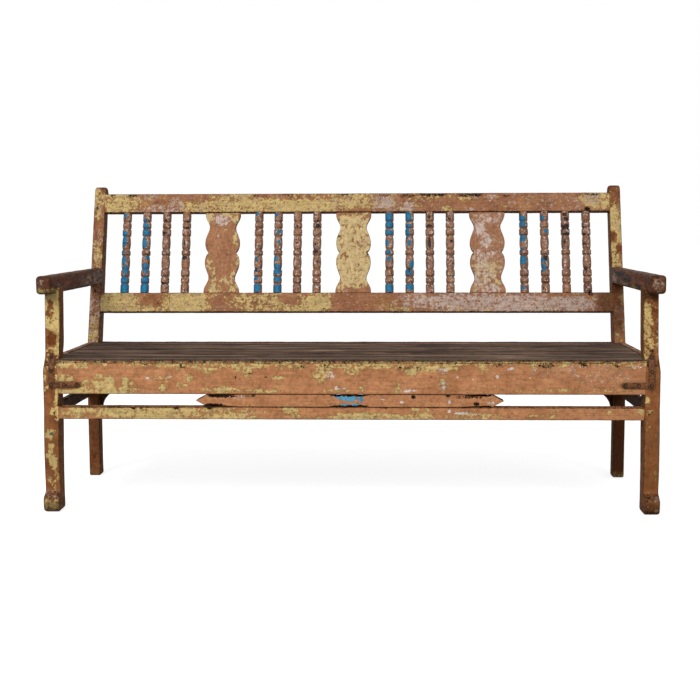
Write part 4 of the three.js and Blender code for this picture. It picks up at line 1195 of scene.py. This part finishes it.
# Distance from the middle, radius
spindle_turning = [
    (0, 14.9), (3.2, 15.2), (6.2, 14.9), (7.6, 13.8), (8.6, 12.5), (10.4, 12.1), (12.2, 12.3),
    (14.4, 13.2), (19, 13.8), (25, 14.3), (32, 14.6), (39, 14.5), (46, 13.9), (52, 13.2),
    (54.2, 12.4), (56, 12.2), (57.4, 12.8), (58.6, 14.3), (60, 15), (69, 15.2), (77.5, 15),
    (79, 14.2), (80.6, 12.5), (82, 12.2), (83.4, 13), (84.8, 14.2), (88, 14.6), (94, 14.7),
    (99, 14.5), (101.4, 14), (103, 12.6), (104.2, 12.2), (105.6, 12.6), (107.2, 14), (110, 14.5),
    (118, 14.6), (127, 14.6), (135.8, 14.4),
]
spindle_coats = {
    "blue": [
        (-781, 865, 7, 12, 1.1), (-779, 808, 12, 8, 1.1), (-781, 781, 12, 24, 1.1),
        (-783, 744, 8, 8, 1.1), (-778, 717, 8, 17, 1.1), (-773, 684, 12, 17, 1.1),
        (-775, 654, 12, 11, 1.1), (-770, 621, 20, 25, 1.1), (-712, 848, 8, 9, 1.1),
        (-708, 828, 12, 11, 1.1), (-707, 808, 14, 12, 1.1), (-712, 774, 10, 20, 1.1),
        (-700, 724, 8, 8, 1.1), (-705, 690, 12, 20, 1.1), (-704, 651, 12, 15, 1.1),
        (-703, 621, 20, 22, 1.1), (-331, 871, 6, 8, 1.1), (-331, 720, 6, 9, 1.1),
        (-333, 683, 8, 9, 1.1), (-333, 657, 10, 10, 1.1), (-328, 624, 15, 18, 1.1),
        (-266, 867, 7, 8, 1.1), (-258, 810, 8, 9, 1.1), (-257, 776, 6, 7, 1.1),
        (-267, 720, 10, 10, 1.1), (-262, 686, 17, 20, 1.1), (-258, 653, 15, 10, 1.1),
        (-258, 620, 17, 18, 1.1), (110, 856, 17, 20, 1.1), (117, 829, 17, 11, 1.1),
        (113, 806, 17, 11, 1.1), (107, 772, 7, 12, 1.1), (110, 742, 10, 8, 1.1),
        (113, 719, 8, 9, 1.1), (114, 623, 15, 16, 1.1), (177, 859, 13, 20, 1.1),
        (177, 829, 14, 9, 1.1), (174, 805, 10, 20, 1.1), (181, 772, 8, 12, 1.1),
        (190, 702, 10, 13, 1.1), (180, 676, 10, 15, 1.1), (184, 626, 17, 12, 1.1),
        (557, 851, 15, 14, 1.1), (557, 831, 13, 9, 1.1), (559, 788, 12, 15, 1.1),
        (555, 748, 9, 7, 1.1), (558, 715, 15, 17, 1.1), (559, 623, 7, 8, 1.1),
        (627, 854, 8, 10, 1.1), (636, 811, 7, 9, 1.1), (627, 715, 9, 9, 1.1),
        (627, 688, 11, 14, 1.1),
    ],
    "chips_and_shade": [
        (-640, 848, 4, 5, 1), (-645, 807, 8, 5, 1), (-643, 640, 10, 4, 1), (-568, 844, 7, 3, 1),
        (-568, 824, 5, 3, 1), (-576, 774, 4, 7, 1), (-574, 724, 8, 7, 1), (-333, 683, 5, 5, 1),
        (-197, 773, 5, 3, 1), (-194, 830, 4, 3, 1), (-127, 846, 4, 4, 1), (-126, 830, 7, 7, 1),
        (-132, 769, 7, 3, 1), (-132, 743, 9, 4, 1), (-128, 709, 4, 4, 1), (248, 859, 5, 7, 1),
        (248, 829, 9, 5, 1), (248, 775, 5, 17, 1), (315, 852, 4, 4, 1), (321, 778, 4, 4, 1),
        (701, 864, 7, 5, 1), (704, 851, 9, 5, 1), (703, 824, 15, 9, 1), (703, 801, 11, 5, 1),
        (699, 774, 4, 7, 1), (763, 801, 7, 4, 1), (762, 767, 11, 4, 1), (766, 685, 5, 9, 1),
        (780, 613, 11, 8, 0.5), (634, 721, 7, 7, 1), (180, 682, 5, 7, 1), (632, 642, 13, 3, 1),
    ],
}
# The grooves of the turning, above and below the ring, are darkened: dirt and painted shade.
ring_level = 742.7
grooves = [
    (0, ring_level + rise * sign, 2000, 4, 0.5)
    for rise in (10.2, 54.8, 80.2, 102.6) for sign in (-1, 1)
]
# Middle of each group and distance from spindle to spindle
spindle_groups = [(-673.3, 67.73), (-227.2, 65.62), (216.4, 67.8), (668.4, 69.5)]
turned = draw_out(
    "spindle_turned",
    2,
    [
        ((-r, 12.5 - r, splat_middle + z * 1.026), (r, 12.5 + r, splat_middle + z * 1.026))
        for z, r in both_ways(spindle_turning)
    ],
    (),
    28,
    face=0,
)
divide_lengthwise(turned, 2, 1, 4)
lean_back(turned)
for i in range(16):
    middle, pitch = spindle_groups[i // 4]
    spindle = copy_of(turned, f"spindle_{i + 1:02d}_worn")
    spindle.location.x = (middle + pitch * (i % 4 - 1.5)) / 1000
    settle(spindle)
    weather(spindle, (30, 0.7))
    lay_coats(
        # Sideways faces are darkened as painted shade, and the high pale lilac ground is partly
        # paint and partly painted highlights on the beads.
        spindle,
        {"ochre": 0.1, "lilac_and_glints": 0.36, "rust": 0.1, "chips_and_shade": 0.12, "blue": -1},
        front=spindle_coats,
        all_round={"grime_and_shade": grooves},
        sides=0.6,
        lean=rake,
    )
    slot = "blue_paint" if i % 4 < 2 else "brown_paint"
    fit(spindle, spindle_paint, f"spindle_{i + 1:02d}")
bpy.data.objects.remove(turned)


# Corner plates. Each is one L of 3 mm strap iron, its upright arm bent to the step of the leg
# and its flat arm along the seat rail, holding the joint with five dome-head screws. Rusty,
# with a dark ring round each screw head that is dirt and painted shade.

# Across, up, and how far back the plate lies there
screw_spots = [
    (865.5, 453.5, 12.8), (865.5, 413.5, 0.3), (865.5, 373.5, 0), (828, 373.5, 0), (790.5, 373.5, 0)
]
iron, tree = new_material("rusty strap iron")
place = add(tree, "TexCoord", take="Object")
# Rust blooms are about 12 mm wide and pits about 2 mm.
bloom, pits = (
    add(
        tree,
        "TexNoise",
        {"Scale": 1000 / size, "Detail": detail, "Roughness": 0.65, "Vector": place},
    )
    for size, detail in ((12, 7), (2, 5))
)
share = add(tree, "MapRange", {"From Min": 0.42, "From Max": 0.6, "Value": bloom})
colour = add(tree, "Mix", mix | {6: linear("442A18"), 7: linear("7E4E2A"), 0: share}, 2)
share = add(tree, "MapRange", {"From Min": 0.5, "From Max": 0.38, "Value": pits})
colour = add(tree, "Mix", mix | {7: linear("2C1A10"), 0: share, 6: colour}, 2)
flat = add(tree, "VectorMath", {"operation": "ABSOLUTE", 0: place})
flat = add(tree, "VectorMath", {"operation": "MULTIPLY", 1: (1, 0, 1), 0: flat})
nearest = None
for x, z, _ in screw_spots:
    spot = {"operation": "DISTANCE", 1: (x / 1000, 0, z / 1000)}
    away = add(tree, "VectorMath", spot | {0: flat}, "Value")
    if nearest:
        away = add(tree, "Math", {"operation": "MINIMUM", 0: nearest, 1: away})
    nearest = away
# A dark ring round each screw, over the rim of its head and the plate next to it: dirt and painted
# shade.
near = add(tree, "MapRange", {"From Min": 0.0074, "From Max": 0.0052, "Value": nearest})
reach = {"From Min": 0.0020, "From Max": 0.0038, "To Min": 0.0, "To Max": 0.9}
head = add(tree, "MapRange", reach | {"Value": nearest})
ring = add(tree, "Math", {"operation": "MULTIPLY", 0: near, 1: head})
colour = add(tree, "Mix", mix | {7: linear("1E120B"), 0: ring, 6: colour}, 2)
bump = add(tree, "Bump", {"Strength": 0.5, "Distance": 0.0006, "Height": pits})
surface = add(
    tree,
    "BsdfPrincipled",
    {"Roughness": 0.62, "Metallic": 0.2, "Specular IOR Level": 0.2}
    | {"Base Color": colour, "Normal": bump},
)
add(tree, "OutputMaterial", {"Surface": surface})
plate_back, plate_thick = -0.3, 3
strap_x, strap_z, strap_wide, end_round = 865.5, 373.5, 17, 6.2
bpy.ops.mesh.primitive_plane_add(
    size=strap_wide / 1000,
    location=(strap_x / 1000, knee_face + plate_back / 1000, strap_z / 1000),
    rotation=(math.pi / 2, 0, 0),
)
plate_right = bpy.context.object
plate_right.name = plate_right.data.name = "corner_plate_right_worn"
settle(plate_right)
half = strap_wide / 2 - 0.1
pick(plate_right, "EDGE", lambda middle, way: middle[:, 0] < strap_x - half)
flat_arm, upright_arm = 75, 80
for i in range(9):
    bpy.ops.mesh.extrude_region_move(
        TRANSFORM_OT_translate={"value": (-flat_arm / 9000, 0, 0)}
    )
bpy.ops.object.mode_set(mode="OBJECT")
pick(
    plate_right,
    "EDGE",
    lambda middle, way: (middle[:, 2] > strap_z + half) & (middle[:, 0] > strap_x - half),
)
# Rise, and how far the leg's face steps back over it
leg_steps = [(14, 0), (14, 0), (9, 1.1), (9, 2.8), (8, 3.1), (8, 3.1), (9, 2.8), (9, 1.1)]
for rise, back in leg_steps:
    step = (0, back / 1000, rise / 1000)
    bpy.ops.mesh.extrude_region_move(TRANSFORM_OT_translate={"value": step})
bpy.ops.object.mode_set(mode="OBJECT")
outward = -1 if plate_right.data.polygons[0].normal.y > 0 else 1
work(plate_right, "SOLIDIFY", thickness=plate_thick / 1000, offset=outward)
pick(
    plate_right,
    "EDGE",
    lambda middle, way: (np.abs(way[:, 1]) > 2)
    & (np.abs(way[:, 0]) < 0.5)
    & (
        (middle[:, 0] < strap_x - half - flat_arm)
        | (middle[:, 2] > strap_z + half - 1 + upright_arm)
        | ((middle[:, 0] > strap_x + half) & (middle[:, 2] < strap_z - half))
    ),
)
bpy.ops.mesh.bevel(offset=end_round / 1000, segments=4)
bpy.ops.object.mode_set(mode="OBJECT")
ease_edges(plate_right, 0.6)
weather(plate_right, (20, 0.8))
plate_left = mirror_over(plate_right, "corner_plate_left_worn")
fit(plate_right, iron, "corner_plate_right")
fit(plate_left, iron, "corner_plate_left")
head_radius, head_high, slot_wide, slot_deep = 0.0042, 0.0024, 0.001, 0.0012
bpy.ops.mesh.primitive_cylinder_add(
    vertices=20, radius=head_radius, depth=head_high, rotation=(math.pi / 2, 0, 0)
)
dome = bpy.context.object
settle(dome)
ease_edges(dome, 1.1, 3)
bpy.ops.mesh.primitive_cube_add(size=1, location=(0, -head_high / 2, 0))
driver_slot = bpy.context.object
driver_slot.scale = (slot_wide, slot_deep, 0.01)
driver_slot.rotation_euler.y = 0.6
settle(driver_slot)
work(dome, "BOOLEAN", operation="DIFFERENCE", object=driver_slot)
bpy.data.objects.remove(driver_slot)
for side, sign in (("left", -1), ("right", 1)):
    for i, (x, z, back) in enumerate(screw_spots):
        screw = copy_of(dome, f"plate_screw_{side}_{i + 1}_worn")
        screw.rotation_euler.y = 0.9 * i
        y = plate_back - plate_thick + back
        screw.location = (sign * x / 1000, knee_face + y / 1000, z / 1000)
        settle(screw)
        fit(screw, iron, f"plate_screw_{side}_{i + 1}")
bpy.data.objects.remove(dome)


# Studio: a white floor and sky that only the camera sees as white, a large soft lamp high in
# front to the left, a weaker one to the right, and an even fill, so that the bench stands in
# nearly shadowless light.
def seen_as(tree, seen, unseen):
    """One look for the camera, mirrors and glass, and another for the light that falls on it."""
    sight = add(tree, "LightPath", take="Is Camera Ray")
    for ray in ("Is Glossy Ray", "Is Transmission Ray"):
        other = add(tree, "LightPath", take=ray)
        sight = add(tree, "Math", {"operation": "MAXIMUM", 0: sight, 1: other})
    return add(tree, "MixShader", {0: sight, 1: unseen, 2: seen})


bpy.ops.mesh.primitive_plane_add(size=60, location=(0, 10, 0))
floor = bpy.context.object
floor.name = "studio_floor"
floor_paint, tree = new_material("matt white studio floor")
glow = add(tree, "Emission", {"Color": (1, 1, 1, 1), "Strength": 0.765})
matt = add(tree, "BsdfDiffuse", {"Color": (0.6, 0.6, 0.6, 1)})
seen = add(tree, "AddShader", {0: glow, 1: matt})
unseen = add(tree, "BsdfDiffuse", {"Color": (0.3, 0.29, 0.28, 1)})
add(tree, "OutputMaterial", {"Surface": seen_as(tree, seen, unseen)})
floor.data.materials.append(floor_paint)
world = bpy.data.worlds.new("studio")
bpy.context.scene.world = world
world.use_nodes = True
tree = world.node_tree
tree.nodes.clear()
fill = add(tree, "Background", {"Color": (0.98, 0.99, 1, 1), "Strength": 0.45})
white = add(tree, "Background", {"Color": (1, 1, 1, 1), "Strength": 1})
add(tree, "OutputWorld", {"Surface": seen_as(tree, white, fill)})
for name, spot, size, power in (
    ("key", (-1.6, -4.2, 3.4), 2.6, 196),
    ("front_fill", (2.6, -4.6, 2.2), 2.4, 60),
):
    lamp = bpy.data.lights.new(name, "AREA")
    lamp.shape = "DISK"
    lamp.size = size
    lamp.energy = power
    lamp_object = bpy.data.objects.new(name, lamp)
    bpy.context.collection.objects.link(lamp_object)
    lamp_object.location = spot
    aim = Vector((0, 0, 0.5)) - Vector(spot)
    lamp_object.rotation_euler = aim.to_track_quat("-Z", "Y").to_euler()


# Camera: a 62 mm lens 3.8 m away at eye height for someone seated, turned 2 degrees to the
# left and tipped 6 degrees down.
camera_data = bpy.data.cameras.new("camera")
camera_data.lens = 62.27
camera_data.sensor_width = 36
camera = bpy.data.objects.new("camera", camera_data)
bpy.context.collection.objects.link(camera)
bpy.context.scene.camera = camera
turned_left, tipped_down, tilted = 0.0344, 0.104, 0.0028
camera.matrix_world = (
    Matrix.Translation((0.1217, -3.7923, 0.8367))
    @ Matrix.Rotation(turned_left, 4, "Z")
    @ Matrix.Rotation(math.pi / 2 - tipped_down, 4, "X")
    @ Matrix.Rotation(-tilted, 4, "Z")
)
bpy.context.scene.view_settings.view_transform = "Standard"
